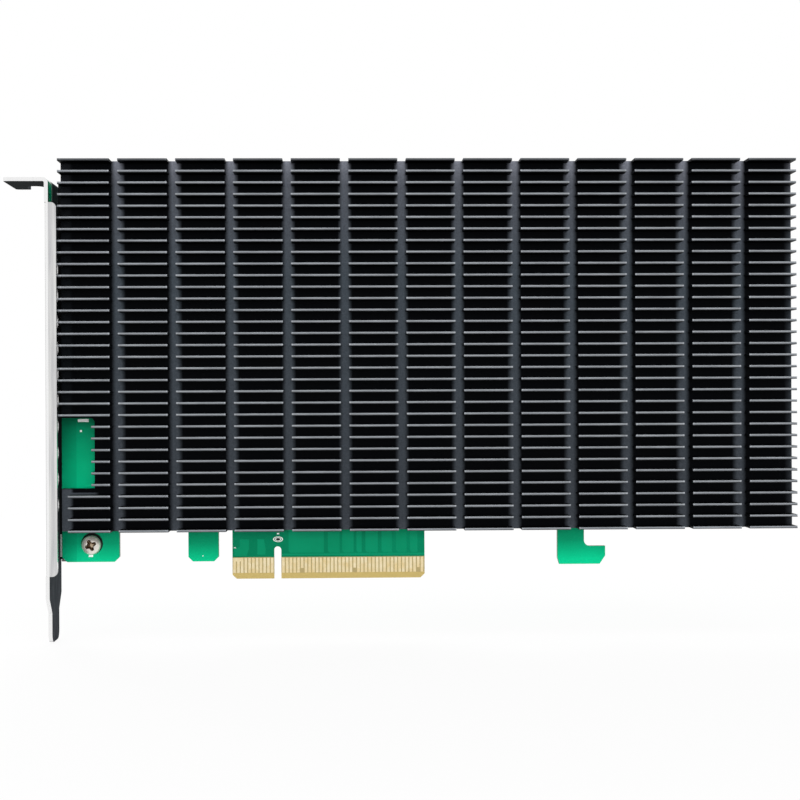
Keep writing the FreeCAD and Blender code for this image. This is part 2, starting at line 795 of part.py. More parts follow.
def m2_socket(bay):
    """A keyed card-edge socket whose mouth faces the tail."""
    body = new_body(f"m2_socket_{bay + 1}")
    middle = bay_z(bay)
    rear = "(socket_mouth - socket_depth)"
    shell = new_sketch(body, "shell", height=FRONT)
    low, high = f"{middle} - socket_width / 2", f"{middle} + socket_width / 2"
    draw_box(shell, rear, low, "socket_mouth", high)
    pad(body, "shell_pad", shell, "socket_height")

    slots = new_sketch(body, "slots", "YZ_Plane", "socket_mouth")
    low = f"-{FRONT} - drive_raise - slot_height + slot_play"
    high = f"-{FRONT} - drive_raise + slot_play"
    key_low = f"{middle} - slot_key_offset - slot_key_width / 2"
    key_high = f"{middle} - slot_key_offset + slot_key_width / 2"
    draw_box(slots, low, f"{middle} - slot_width / 2", high, key_low)
    draw_box(slots, low, key_high, high, f"{middle} + slot_width / 2")
    pocket(body, "slot_cuts", slots, "slot_depth")
    return body


def drive_nuts():
    """Round threaded standoffs that hold the far end of each drive."""
    body = new_body("drive_nuts")
    collars = new_sketch(body, "collars", height=FRONT)
    bores = new_sketch(body, "bores", height=f"{FRONT} + drive_raise")
    for bay in range(SIZES["bay_count"]):
        draw_circle(collars, DRIVE_NUT_X, bay_z(bay), "nut_radius")
        draw_circle(bores, DRIVE_NUT_X, bay_z(bay), "nut_bore_radius")
    pad(body, "collar_pads", collars, "drive_raise")
    pocket(body, "bore_cuts", bores, "nut_bore_depth")
    return body


def drive_pads():
    """Soft thermal pads on the heatsink's back, one over each drive."""
    body = new_body("drive_pads")
    strips = new_sketch(body, "strips", height=SINK_BACK)
    for bay in range(SIZES["bay_count"]):
        low, high = f"{bay_z(bay)} - pad_width / 2", f"{bay_z(bay)} + pad_width / 2"
        draw_box(strips, "pad_from", low, "pad_from + pad_length", high)
    pad(body, "strip_pads", strips, "pad_thickness", backwards=True)
    return body


# Switch and power parts


def square_block(label, x, z, side, low, height, chamfer=None):
    """A square part standing on a level, with its upper edges chamfered where it has a chamfer."""
    body = new_body(label)
    foot = new_sketch(body, "foot", height=low)
    draw_square(foot, x, z, side)
    pad(body, "block", foot, height)
    if chamfer:
        top = f"-({low}) - {height}"
        sides = [(f"{x} {sign} {side} / 2", top) for sign in "-+"]
        dress(body, "Chamfer", "side_edges", 2, sides, "Size", chamfer)
    return body


def switch_parts():
    """The switch package, and the pad and the pedestal that carry its heat to the heatsink."""
    carrier_top = f"{FRONT} + switch_carrier"
    lid_top = f"{carrier_top} + switch_lid_thickness"
    gap = "sink_gap - pedestal_height - switch_carrier - switch_lid_thickness"
    carrier = square_block("switch_carrier", "switch_x", "switch_z", "switch_side", FRONT, "switch_carrier")
    lid = square_block("switch_lid", "switch_x", "switch_z", "switch_lid_side", carrier_top,
                       "switch_lid_thickness", "switch_lid_chamfer")
    soft = square_block("switch_pad", "switch_x", "switch_z", "switch_lid_side", lid_top, gap)
    pedestal_foot = f"{SINK_BACK} - pedestal_height"
    pedestal = square_block("switch_pedestal", "switch_x", "switch_z", "pedestal_side", pedestal_foot,
                            "pedestal_height")
    return [carrier, lid, soft, pedestal]


def coils(label, x, low, spacing, side, height):
    """Two moulded power inductors, one above the other, with broken top edges."""
    body = new_body(label)
    foot = new_sketch(body, "foot", height=FRONT)
    for step in range(2):
        draw_square(foot, x, f"{low} + {step} * {spacing}", side)
    pad(body, "blocks", foot, height)
    sides = [(f"{x} {sign} {side} / 2", f"-{FRONT} - {height}") for sign in "-+"]
    dress(body, "Chamfer", "side_edges", 2, sides, "Size", "coil_chamfer")
    return body


def power_parts():
    pair = [f"coil_low + {step} * coil_spacing" for step in range(2)]
    small_pair = [f"small_coil_low + {step} * small_coil_spacing" for step in range(2)]
    stage_x = f"({COIL_X} - coil_side / 2 - stage_length / 2 - part_gap)"
    small_stage_x = f"({SWITCH_FRINGE} - stage_length / 2)"
    small_coil_x = f"({SWITCH_FRINGE} - stage_length - part_gap - small_coil_side / 2)"
    stages = [(stage_x, z) for z in pair]
    small_stages = [(small_stage_x, z) for z in small_pair]
    tank_x = f"({COIL_X} + coil_side / 2 + tank_gap + tank_length / 2)"
    tanks = [(tank_x, f"tank_low + {step} * tank_spacing") for step in range(SIZES["tank_count"])]
    guards = [(GUARD_X, bay_z(bay)) for bay in range(SIZES["bay_count"])]
    return [
        coils("drive_supply_coils", COIL_X, "coil_low", "coil_spacing", "coil_side", "coil_height"),
        coils("core_supply_coils", small_coil_x, "small_coil_low", "small_coil_spacing",
              "small_coil_side", "small_coil_height"),
        chips("power_stages", stages + small_stages, "stage_length", "stage_width", "stage_height"),
        chips("bulk_capacitors", tanks, "tank_length", "tank_width", "tank_height"),
        chips("drive_power_guards", guards, "guard_side", "guard_side", "guard_height"),
    ]


# Support chips and small passives


def flash_chip():
    """An eight-leg memory chip for the switch's settings."""
    body = new_body("flash_chip")
    shell = new_sketch(body, "shell", height=f"{FRONT} + flash_leg_height")
    long, wide = "flash_length / 2", "flash_width / 2"
    middle = f"({SWITCH_TOP} + flash_rise)"
    draw_box(shell, f"switch_x - {wide}", f"{middle} - {long}", f"switch_x + {wide}", f"{middle} + {long}")
    pad(body, "shell_pad", shell, "flash_height - flash_leg_height")
    leg = new_sketch(body, "leg", height=FRONT)
    low = f"{middle} - (flash_leg_rows - 1) / 2 * flash_leg_pitch - flash_leg_width / 2"
    reach = "(flash_width / 2 + flash_leg_reach)"
    draw_box(leg, f"switch_x - {reach}", low, f"switch_x + {reach}", f"{low} + flash_leg_width")
    legs = pad(body, "leg_pad", leg, "flash_leg_height")
    pattern(body, "legs", legs, "Z_Axis", "flash_leg_pitch", "flash_leg_rows")
    return body


def support_chips():
    clock = ("switch_x + clock_aside", f"{SWITCH_TOP} + clock_rise")
    crystal = [(clock[0], f"{clock[1]} + crystal_rise")]
    manager = [("switch_x - manager_aside", f"{SWITCH_TOP} + manager_rise")]
    return [
        flash_chip(),
        chips("clock_buffer", [clock], "clock_side", "clock_side", "clock_height"),
        chips("crystal", crystal, "crystal_length", "crystal_width", "crystal_height"),
        chips("management_chip", manager, "manager_side", "manager_side", "manager_height"),
    ]


def small_passives():
    """Ceramic capacitors and resistors beside what they serve, and the lanes' coupling capacitors."""
    ceramics = []
    resistors = []
    for bay in range(SIZES["bay_count"]):
        for step in (-1, 0, 1):
            ceramics.append((BESIDE_SOCKETS, f"{bay_z(bay)} + {step} * ceramic_spacing"))
        for step in (-1, 1):
            resistors.append((GUARD_X, f"{bay_z(bay)} + {step} * ceramic_spacing"))
    for step in range(SIZES["fringe_count"]):
        along = f"switch_z + ({step} - (fringe_count - 1) / 2) * ceramic_spacing"
        for sign in "-+":
            beside = f"switch_x {sign} (switch_side / 2 + part_gap + ceramic_length / 2)"
            ceramics.append((beside, along))
    beside_flash = "switch_x - flash_width / 2 - flash_leg_reach - part_gap - resistor_length / 2"
    for step in range(SIZES["flash_resistors"]):
        up = f"({step} - (flash_resistors - 1) / 2) * resistor_spacing"
        resistors.append((beside_flash, f"{SWITCH_TOP} + flash_rise + {up}"))
    couplers = []
    for lane in range(SIZES["coupler_lanes"]):
        for half in (0, 1):
            along = f"coupler_first + {lane} * coupler_lane + {half} * coupler_pair"
            couplers.append((along, "finger_top + coupler_rise"))
    return [
        chips("ceramic_capacitors", ceramics, "ceramic_length", "ceramic_width", "ceramic_height"),
        chips("chip_resistors", resistors, "resistor_length", "resistor_width", "resistor_height"),
        chips("coupling_capacitors", couplers, "coupler_length", "coupler_width", "coupler_height",
              on_back=True),
    ]


# Assembly

pieces = [
    circuit_board(),
    edge_contacts("front"),
    edge_contacts("back"),
    heatsink(),
    heatsink_posts(),
    heatsink_screws(),
    bracket(),
    bracket_screws(),
    *[m2_socket(bay) for bay in range(SIZES["bay_count"])],
    drive_nuts(),
    drive_pads(),
    *switch_parts(),
    *power_parts(),
    *support_chips(),
    *small_passives(),
]
doc.recompute()

for item in doc.Objects:
    if "Invalid" in item.State or "Error" in item.State:
        raise RuntimeError(f"{item.Name} did not build: {item.State}")
for piece in pieces:
    if piece.Shape.isNull() or not piece.Shape.isValid() or not piece.Shape.Solids:
        raise RuntimeError(f"{piece.Label} has no sound solid")

os.makedirs("parts", exist_ok=True)
for piece in pieces:
    piece.Shape.exportStep(f"parts/{piece.Label}.step")
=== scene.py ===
import math

import bmesh
import bpy
from mathutils import Matrix, Vector


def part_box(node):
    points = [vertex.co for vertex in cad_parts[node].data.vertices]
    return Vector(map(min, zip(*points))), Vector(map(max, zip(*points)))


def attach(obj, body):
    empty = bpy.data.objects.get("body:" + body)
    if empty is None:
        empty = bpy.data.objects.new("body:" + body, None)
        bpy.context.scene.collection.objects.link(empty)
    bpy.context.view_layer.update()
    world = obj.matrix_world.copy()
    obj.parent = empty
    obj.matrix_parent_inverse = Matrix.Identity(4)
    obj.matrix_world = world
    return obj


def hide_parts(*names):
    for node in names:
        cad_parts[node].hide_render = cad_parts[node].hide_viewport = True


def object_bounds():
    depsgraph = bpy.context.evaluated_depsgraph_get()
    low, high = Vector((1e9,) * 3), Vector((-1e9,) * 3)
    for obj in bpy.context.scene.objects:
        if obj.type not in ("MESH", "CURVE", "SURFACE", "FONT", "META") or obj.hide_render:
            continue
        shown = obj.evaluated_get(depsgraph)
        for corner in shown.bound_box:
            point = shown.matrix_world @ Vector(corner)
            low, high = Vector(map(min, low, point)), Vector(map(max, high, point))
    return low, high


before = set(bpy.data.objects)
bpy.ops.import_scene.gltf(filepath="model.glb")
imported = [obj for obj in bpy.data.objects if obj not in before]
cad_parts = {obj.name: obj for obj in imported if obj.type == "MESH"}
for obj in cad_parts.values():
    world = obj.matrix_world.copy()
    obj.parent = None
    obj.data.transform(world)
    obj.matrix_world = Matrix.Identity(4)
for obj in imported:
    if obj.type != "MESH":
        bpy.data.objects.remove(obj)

cad_box = [list(corner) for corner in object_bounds()]
MM = 0.001


# Circuit board: one slab of glass laminate with green solder mask on both faces. Its routed rim
# and its tongue, which has no mask, show the bare laminate, and the insertion edge is bevelled.

def new_finish(name, colour, metallic=0.0, roughness=0.5, **sockets):
    """A material with one shader; the shader's fixed values are set on its own sockets."""
    finish = bpy.data.materials.new(name)
    finish.use_nodes = True
    shader = finish.node_tree.nodes["Principled BSDF"]
    shader.inputs["Base Color"].default_value = (*colour, 1.0)
    shader.inputs["Metallic"].default_value = metallic
    shader.inputs["Roughness"].default_value = roughness
    for socket, value in sockets.items():
        shader.inputs[socket.replace("_", " ")].default_value = value
    return finish


def add_node(finish, kind, inputs=(), **settings):
    """Adds a node. Each input is a value or another node's socket."""
    tree = finish.node_tree
    node = tree.nodes.new(kind)
    for name, value in settings.items():
        setattr(node, name, value)
    for socket, value in dict(inputs).items():
        if isinstance(value, bpy.types.NodeSocket):
            tree.links.new(value, node.inputs[socket])
        else:
            node.inputs[socket].default_value = value
    return node


def sums(finish, operation, first, second=0.0):
    """One step of arithmetic on two values."""
    node = add_node(finish, "ShaderNodeMath", {0: first, 1: second}, operation=operation)
    return node.outputs[0]


def place_in(finish):
    """The point's own X, Y and Z on the part, in metres."""
    spot = add_node(finish, "ShaderNodeTexCoord").outputs["Object"]
    return add_node(finish, "ShaderNodeSeparateXYZ", {0: spot}).outputs


def outward_in(finish):
    """The way the surface faces, as X, Y and Z."""
    normal = add_node(finish, "ShaderNodeNewGeometry").outputs["Normal"]
    return add_node(finish, "ShaderNodeSeparateXYZ", {0: normal}).outputs


def grain(finish, per_mm, stretch=(1, 1, 1), detail=3.0):
    """Noise with about so many features in a millimetre, stretched along the axes."""
    spot = add_node(finish, "ShaderNodeTexCoord").outputs["Object"]
    scale = [per_mm / MM / side for side in stretch]
    mapped = add_node(finish, "ShaderNodeMapping", {"Vector": spot, "Scale": scale})
    noise = add_node(finish, "ShaderNodeTexNoise",
                     {"Vector": mapped.outputs[0], "Scale": 1.0, "Detail": detail})
    return noise.outputs["Fac"]


def between(finish, value, low, high):
    """1 inside the range and 0 outside it."""
    above = sums(finish, "GREATER_THAN", value, low)
    below = sums(finish, "LESS_THAN", value, high)
    return sums(finish, "MULTIPLY", above, below)


def spread(finish, value, low, high, to_low, to_high):
    """The value carried evenly from one range to another, and held at its ends."""
    node = add_node(finish, "ShaderNodeMapRange", {
        "Value": value, "From Min": low, "From Max": high, "To Min": to_low, "To Max": to_high})
    return node.outputs[0]


def drift(finish, per_mm, low, high, stretch=(1, 1, 1)):
    """The grain's usual range carried to another range."""
    return spread(finish, grain(finish, per_mm, stretch), 0.3, 0.7, low, high)


def blend_colours(finish, share, first, second):
    """The first colour at a share of 0 and the second at 1."""
    node = add_node(finish, "ShaderNodeMix", data_type="RGBA")
    tree = finish.node_tree
    for socket, value in ((node.inputs[0], share), (node.inputs[6], first), (node.inputs[7], second)):
        if isinstance(value, bpy.types.NodeSocket):
            tree.links.new(value, socket)
        elif isinstance(value, tuple):
            socket.default_value = (*value, 1.0)
        else:
            socket.default_value = value
    return node.outputs[2]


def shade_by(finish, colour, factor):
    """A colour made lighter or darker by a factor."""
    node = add_node(finish, "ShaderNodeVectorMath", {0: colour, "Scale": factor}, operation="SCALE")
    return node.outputs[0]


def wire(finish, socket, value):
    """Feeds a value to the shader."""
    shader = finish.node_tree.nodes["Principled BSDF"]
    finish.node_tree.links.new(value, shader.inputs[socket])


def roughen(finish, height, depth_mm):
    """Relief whose full height is so many millimetres."""
    bump = add_node(finish, "ShaderNodeBump", {"Height": height, "Distance": depth_mm * MM})
    wire(finish, "Normal", bump.outputs[0])


def wear(node, finish):
    """Puts a finish on a solid that keeps its shape."""
    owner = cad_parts[node]
    if not owner.material_slots:
        owner.data.materials.append(finish)
    for place in owner.material_slots:
        place.material = finish


BOARD_HALF = 0.785
front_face, back_face = -BOARD_HALF * MM, BOARD_HALF * MM
MASK_GREEN, MASK_DEEP = (0.001, 0.345, 0.163), (0.001, 0.285, 0.130)
LAMINATE, BEVEL_GOLD = (0.46, 0.36, 0.17), (0.54, 0.41, 0.15)
RIM = (0.10, 0.13, 0.05)
MASK_EDGE = 5.75 * MM
BEVEL_TOP = 1.55 * MM
TONGUE = (-12.1 * MM, 39.25 * MM)
BAND_ENDS = (-12.6 * MM, 39.8 * MM)
BAND_TOP = 16.0 * MM
# Where painted light and painted shade fall on the green of the component side.
BAND_PAINTED_SHADE = -0.33
LOWER_PAINTED_LIGHT_FADE, LOWER_PAINTED_LIGHT = (9.9 * MM, 4.7 * MM), (-0.06, 0.95)
WINDOW_HEIGHTS = (20 * MM, 50 * MM)
WINDOW_END = -40 * MM
WINDOW_PAINTED_LIGHT_FADE, WINDOW_PAINTED_LIGHT = (42.0 * MM, 30.5 * MM), (-0.36, 0.70)
PLATE_SHADOW_END, PLATE_PAINTED_SHADOW = -53.3 * MM, 0.84
WEAVE_PITCH = 0.9 * MM

mask_finish = new_finish("solder_mask_green", MASK_GREEN, roughness=0.33, Specular_IOR_Level=0.05)
across, deep, up = place_in(mask_finish)
cloud = spread(mask_finish, grain(mask_finish, 0.05, detail=2.0), 0.35, 0.65, 0.0, 1.0)
green = blend_colours(mask_finish, cloud, MASK_DEEP, MASK_GREEN)
facing = outward_in(mask_finish)[1]
on_rim = sums(mask_finish, "LESS_THAN", sums(mask_finish, "ABSOLUTE", facing), 0.5)
rim_colour = shade_by(mask_finish, RIM, drift(mask_finish, 3.0, 0.75, 1.15, (6, 1, 6)))
# On the component side the green carries painted light towards the lower edges and low in the heatsink's
# corner window, painted shade from the heatsink over the tongue, and painted shadow of the plate beside it.
on_front = sums(mask_finish, "LESS_THAN", facing, -0.5)
over_tongue = between(mask_finish, across, *BAND_ENDS)
beside_tongue = sums(mask_finish, "SUBTRACT", 1.0, over_tongue)
lower_painted_light = sums(mask_finish, "MULTIPLY", beside_tongue,
                   spread(mask_finish, up, *LOWER_PAINTED_LIGHT_FADE, *LOWER_PAINTED_LIGHT))
band_painted_shade = sums(mask_finish, "MULTIPLY", sums(mask_finish, "MULTIPLY", over_tongue, BAND_PAINTED_SHADE),
                   sums(mask_finish, "LESS_THAN", up, BAND_TOP))
in_window = sums(mask_finish, "MULTIPLY", between(mask_finish, up, *WINDOW_HEIGHTS),
                 sums(mask_finish, "LESS_THAN", across, WINDOW_END))
window_painted_light = sums(mask_finish, "MULTIPLY", in_window,
                   spread(mask_finish, up, *WINDOW_PAINTED_LIGHT_FADE, *WINDOW_PAINTED_LIGHT))
painted_light = sums(mask_finish, "MULTIPLY", on_front,
            sums(mask_finish, "ADD", sums(mask_finish, "ADD", lower_painted_light, band_painted_shade), window_painted_light))
in_plate_shadow = sums(mask_finish, "MULTIPLY", on_front,
                    sums(mask_finish, "LESS_THAN", across, PLATE_SHADOW_END))
painted_light_and_shade = sums(mask_finish, "MULTIPLY", sums(mask_finish, "ADD", 1.0, painted_light),
                  spread(mask_finish, in_plate_shadow, 0.0, 1.0, 1.0, PLATE_PAINTED_SHADOW))
green = shade_by(mask_finish, green, painted_light_and_shade)
coloured = blend_colours(mask_finish, on_rim, green, rim_colour)
on_tongue = sums(mask_finish, "MULTIPLY", between(mask_finish, across, *TONGUE),
                 sums(mask_finish, "LESS_THAN", up, MASK_EDGE))
bare = blend_colours(mask_finish, sums(mask_finish, "LESS_THAN", up, BEVEL_TOP), LAMINATE, BEVEL_GOLD)
wire(mask_finish, "Base Color", blend_colours(mask_finish, on_tongue, coloured, bare))
threads = [sums(mask_finish, "SINE", sums(mask_finish, "MULTIPLY", along, 2 * math.pi / WEAVE_PITCH))
           for along in (across, up)]
weave = sums(mask_finish, "MULTIPLY", *threads)
roughen(mask_finish, sums(mask_finish, "ADD", weave, grain(mask_finish, 1.2)), 0.006)
wear("circuit_board", mask_finish)


# Edge contacts: fingers of hard gold over nickel on copper, plated on both faces of the tongue.
# They are bright, with faint wiping marks along the way the card goes in.

def vary_gloss(finish, per_mm, rougher, stretch=(1, 1, 1)):
    """Lets the roughness drift with the grain from the finish's own value to a rougher one."""
    own = finish.node_tree.nodes["Principled BSDF"].inputs["Roughness"].default_value
    wire(finish, "Roughness", drift(finish, per_mm, own, rougher, stretch))


def mottle(finish, per_mm, other, low=0.35, high=0.65):
    """Lets the colour drift with the grain from the finish's own colour to another."""
    own = tuple(finish.node_tree.nodes["Principled BSDF"].inputs["Base Color"].default_value)[:3]
    share = spread(finish, grain(finish, per_mm), low, high, 0.0, 1.0)
    wire(finish, "Base Color", blend_colours(finish, share, own, other))


gold_finish = new_finish("hard_gold", (0.83, 0.66, 0.35), metallic=1.0, roughness=0.22)
vary_gloss(gold_finish, 6.0, 0.42, (1, 1, 12))
mottle(gold_finish, 0.6, (0.90, 0.78, 0.52))
wear("edge_contacts_front", gold_finish)
wear("edge_contacts_back", gold_finish)


# Print and copper on the board: etched copper areas and tracks raise the mask by a hair, plated
# holes carry signals between the faces, and white marks are screened on top.

def new_piece(name, shell, finish):
    """Makes a mesh piece that rides with the card."""
    mesh = bpy.data.meshes.new(name)
    bmesh.ops.recalc_face_normals(shell, faces=shell.faces)
    shell.to_mesh(mesh)
    shell.free()
    mesh.materials.append(finish)
    piece = bpy.data.objects.new(name, mesh)
    bpy.context.scene.collection.objects.link(piece)
    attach(piece, "root")
    return piece


def raise_outline(shell, outline, face, height):
    """A thin solid over a flat outline of (x, z) points in millimetres, standing out of a face.

    height is signed: negative stands towards the component side.
    """
    low = [shell.verts.new((x * MM, face, z * MM)) for x, z in outline]
    high = [shell.verts.new((x * MM, face + height, z * MM)) for x, z in outline]
    shell.faces.new(low)
    shell.faces.new(high)
    for here in range(len(outline)):
        after = (here + 1) % len(outline)
        shell.faces.new((low[here], low[after], high[after], high[here]))


def ring_of(x, z, radius, count, squash=1.0):
    """The points of a circle, or of an oval that is squashed along Z."""
    steps = [2 * math.pi * step / count for step in range(count)]
    return [(x + radius * math.cos(a), z + radius * squash * math.sin(a)) for a in steps]


COPPER_RISE, INK_RISE = 0.018 * MM, 0.03 * MM
pour_finish = new_finish("mask_over_copper", (0.001, 0.25, 0.115), roughness=0.3, Specular_IOR_Level=0.06)
mottle(pour_finish, 0.08, (0.002, 0.29, 0.14))
roughen(pour_finish, grain(pour_finish, 1.2), 0.004)

# Copper areas over the tongue: eight side by side, a strip below them and two left of the key.
BAND_LOW, BAND_HIGH = 6.15, 15.0
TONGUE_AREAS = ((2.9, 12.3), (13.4, 16.5), (17.2, 20.25), (21.0, 22.4),
                (23.4, 26.7), (27.7, 30.5), (31.6, 34.4), (35.3, 37.3))
front_outlines = [[(left, BAND_LOW + 1.2), (left + 0.5, BAND_LOW + 0.7), (right, BAND_LOW + 0.7),
                   (right, BAND_HIGH - 0.6), (left + 0.7, BAND_HIGH - 0.6), (left, BAND_HIGH - 1.6)]
                  for left, right in TONGUE_AREAS]
front_outlines.append([(1.2, BAND_LOW + 0.05), (39.2, BAND_LOW + 0.05),
                       (39.2, BAND_LOW + 0.5), (1.2, BAND_LOW + 0.5)])
front_outlines.append([(-11.6, BAND_LOW), (-8.3, BAND_LOW), (-7.7, BAND_LOW + 1.8),
                       (-7.7, BAND_LOW + 4.4), (-10.1, BAND_LOW + 4.4), (-10.1, BAND_LOW + 2.4),
                       (-11.6, BAND_LOW + 1.8)])
front_outlines.append([(-5.4, BAND_LOW + 0.3), (-3.3, BAND_LOW + 0.3), (-3.3, BAND_LOW + 2.2),
                       (-3.7, BAND_LOW + 4.4), (-5.4, BAND_LOW + 4.4)])
front_pours = bmesh.new()
for outline in front_outlines:
    raise_outline(front_pours, outline, front_face, -COPPER_RISE)
new_piece("front_copper_areas", front_pours, pour_finish)

silk_finish = new_finish("white_ink", (0.97, 0.99, 0.97), roughness=0.6)
roughen(silk_finish, grain(silk_finish, 8.0), 0.004)
# Each mark is a bar: the X and Z of its middle, its width and its height.
INK_BARS = ((-51.45, 42.45, 2.9, 0.75), (-52.1, 39.65, 0.5, 0.5), (-49.6, 6.4, 1.15, 0.55),
            (0.1, 12.0, 0.6, 0.35), (-11.4, 8.3, 0.5, 0.22), (-19.9, 6.2, 0.3, 0.25))
front_ink = bmesh.new()
for x, z, wide, high in INK_BARS:
    raise_outline(front_ink, [(x - wide / 2, z - high / 2), (x + wide / 2, z - high / 2),
                              (x + wide / 2, z + high / 2), (x - wide / 2, z + high / 2)],
                  front_face, -INK_RISE)
new_piece("front_ink_marks", front_ink, silk_finish)


def raise_ring(shell, x, z, outer, inner, face, height, squash=1.0, count=24):
    """A flat washer standing out of a face."""
    rings = []
    for radius, level in ((outer, face), (outer, face + height), (inner, face + height), (inner, face)):
        rings.append([shell.verts.new((px * MM, level, pz * MM))
                      for px, pz in ring_of(x, z, radius, count, squash)])
    for one, two in zip(rings, rings[1:] + rings[:1]):
        for here in range(count):
            after = (here + 1) % count
            shell.faces.new((one[here], one[after], two[after], two[here]))


tin_finish = new_finish("solder_tin", (0.78, 0.78, 0.76), metallic=1.0, roughness=0.34)
roughen(tin_finish, grain(tin_finish, 2.5), 0.01)
# This dark finish serves the bores and the painted shadow rings round the bracket screws.
bore_and_shadow_finish = new_finish("dark_bore_and_shadow", (0.010, 0.013, 0.011), roughness=0.7, Specular_IOR_Level=0.1)
roughen(bore_and_shadow_finish, grain(bore_and_shadow_finish, 4.0), 0.01)

# A dark ring round each bracket screw, set a little above it, is painted shadow of the screw head.
BRACKET_SCREWS_X, BRACKET_SCREW_HEIGHTS = -49.45, (9.35, 94.55)
SHADOW_RINGS_X, SHADOW_ABOVE_SCREW = -49.3, 0.32
SHADOW_RING_OUTER, SHADOW_RING_INNER = 2.9, 1.9
shadow_rings = bmesh.new()
for z in BRACKET_SCREW_HEIGHTS:
    raise_ring(shadow_rings, SHADOW_RINGS_X, z + SHADOW_ABOVE_SCREW, SHADOW_RING_OUTER, SHADOW_RING_INNER,
               front_face, -COPPER_RISE)
new_piece("screw_shadow_rings", shadow_rings, bore_and_shadow_finish)

# An oval slot over the key has a tinned pad and a white ring round it.
SLOT_SPOT = (0.1, 10.5)
ring_ink = bmesh.new()
raise_ring(ring_ink, *SLOT_SPOT, 1.32, 1.08, front_face, -INK_RISE, squash=0.56)
new_piece("oval_ink_ring", ring_ink, silk_finish)
slot_pad = bmesh.new()
raise_ring(slot_pad, *SLOT_SPOT, 0.86, 0.56, front_face, -INK_RISE, squash=0.58)
new_piece("slot_pad", slot_pad, tin_finish)
slot_bore = bmesh.new()
raise_outline(slot_bore, ring_of(*SLOT_SPOT, 0.56, 24, 0.58), front_face, -COPPER_RISE)
new_piece("slot_bore", slot_bore, bore_and_shadow_finish)


def lay_track(shell, points):
    """A track of even width on the back, along a run of (x, z) points in millimetres."""
    left, right = [], []
    for place, (x, z) in enumerate(points):
        before = Vector(points[max(place - 1, 0)])
        after = Vector(points[min(place + 1, len(points) - 1)])
        here = Vector((x, z))
        first = (here - before).normalized() if place else (after - here).normalized()
        second = (after - here).normalized() if place < len(points) - 1 else first
        middle = (first + second).normalized()
        side = Vector((-middle.y, middle.x)) * (TRACK_WIDTH / 2 / max(0.5, middle.dot(first)))
        left.append(tuple(here + side))
        right.append(tuple(here - side))
    raise_outline(shell, left + right[::-1], back_face, COPPER_RISE)


# Tracks on the back run in pairs from the fingers through their capacitors. Four pairs cross the
# face to the switch, the other four and those of the lowest socket go down plated holes and run
# inside the board, and the upper sockets' tracks fan out from the switch's side.
TRACK_WIDTH = 0.26
FIRST_LANE, LANE_PITCH = 13.1, 3.2
PAIR_PITCH, PAIR_CLOSES_BY = 0.9, 0.45
FACE_LANES = 4
FIRST_TURN, TURN_PITCH = 17.95, 1.9
SWITCH_HOLES_LOW = 49.0
SIDE_HOLES_LOW, BAY_PITCH, SIDE_HOLE_PITCH = 50.0, 6.0, 0.75
SOCKET_HOLES_X, SOCKET_HOLE_PITCH = 12.5, 1.7
TRACKS_END = SOCKET_HOLES_X - 0.3
back_tracks = bmesh.new()
hole_spots = []
cap_low, cap_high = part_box("coupling_capacitors")
cap_bottom, cap_top = cap_low.z / MM, cap_high.z / MM
for lane in range(8):
    for half in (0, 1):
        x = FIRST_LANE + LANE_PITCH * lane + PAIR_PITCH * half
        finger = round(x - 0.5) + 0.5
        lay_track(back_tracks, [(finger, 5.8), (finger, 7.4), (x, 8.4), (x, cap_bottom - 0.15)])
        if lane >= FACE_LANES:
            lay_track(back_tracks, [(x, cap_top + 0.15), (x, cap_top + 2.2)])
            hole_spots.append((x, cap_top + 2.5))
            continue
        closed_x = x - PAIR_CLOSES_BY * half
        turn = FIRST_TURN + TURN_PITCH * lane + 0.15 * half
        hole_z = SWITCH_HOLES_LOW + PAIR_PITCH * half
        hole_x = closed_x + turn - hole_z
        lay_track(back_tracks, [(x, cap_top + 0.15), (x, cap_top + 1.2), (closed_x, cap_top + 2.0),
                                (closed_x, turn), (hole_x + 0.2, hole_z - 0.2)])
        hole_spots.append((hole_x, hole_z))
socket_boxes = [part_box(f"m2_socket_{bay}") for bay in (1, 2, 3, 4)]
socket_heights = [(low.z + high.z) / 2 / MM for low, high in socket_boxes]
for bay, middle in enumerate(socket_heights):
    begin = -3.5 if bay in (1, 2) else -4.5
    for lane in range(8):
        from_z = SIDE_HOLES_LOW + BAY_PITCH * bay + SIDE_HOLE_PITCH * lane
        to_z = middle - 6.0 + SOCKET_HOLE_PITCH * lane
        hole_spots += [(SOCKET_HOLES_X, to_z), (begin - 0.3, from_z)]
        if bay in (1, 2):
            lay_track(back_tracks, [(begin, from_z), (TRACKS_END - abs(to_z - from_z), from_z),
                                    (TRACKS_END, to_z)])
        elif bay == 3:
            rise_x = begin + 0.8 + 0.45 * (7 - lane)
            lay_track(back_tracks, [(begin, from_z), (rise_x - 0.4, from_z), (rise_x, from_z + 0.4),
                                    (rise_x, to_z - 5.0), (rise_x + 5.0, to_z), (TRACKS_END, to_z)])
new_piece("back_tracks", back_tracks, pour_finish)

# Copper areas for the drives' supply, and the rows of small plated holes that stitch them.
DRIVE_HOLES, DRIVE_HOLES_LEFT, DRIVE_HOLE_PITCH = 12, 29.0, 5.6
TAIL_COPPER_HEIGHTS = ((20.0, 58.0), (62.0, 100.0))
TAIL_HOLES, TAIL_HOLE_PITCH = (4, 9), (5.4, 3.9)
SWITCH_HOLES, SWITCH_HOLES_CORNER, SWITCH_HOLE_PITCH = 10, (-29.7, 50.3), 2.6
HOLE_RADIUS, HOLE_PAD_RADIUS = 0.13, 0.3
back_pours = bmesh.new()
for middle in socket_heights:
    raise_outline(back_pours, [(27.0, middle - 9.0), (94.0, middle - 9.0), (96.0, middle - 7.0),
                               (96.0, middle + 7.0), (94.0, middle + 9.0), (27.0, middle + 9.0),
                               (24.5, middle + 6.5), (24.5, middle - 6.5)],
                  back_face, COPPER_RISE)
    for column in range(DRIVE_HOLES):
        x = DRIVE_HOLES_LEFT + DRIVE_HOLE_PITCH * column
        hole_spots += [(x, middle - 10.4), (x, middle + 10.4)]
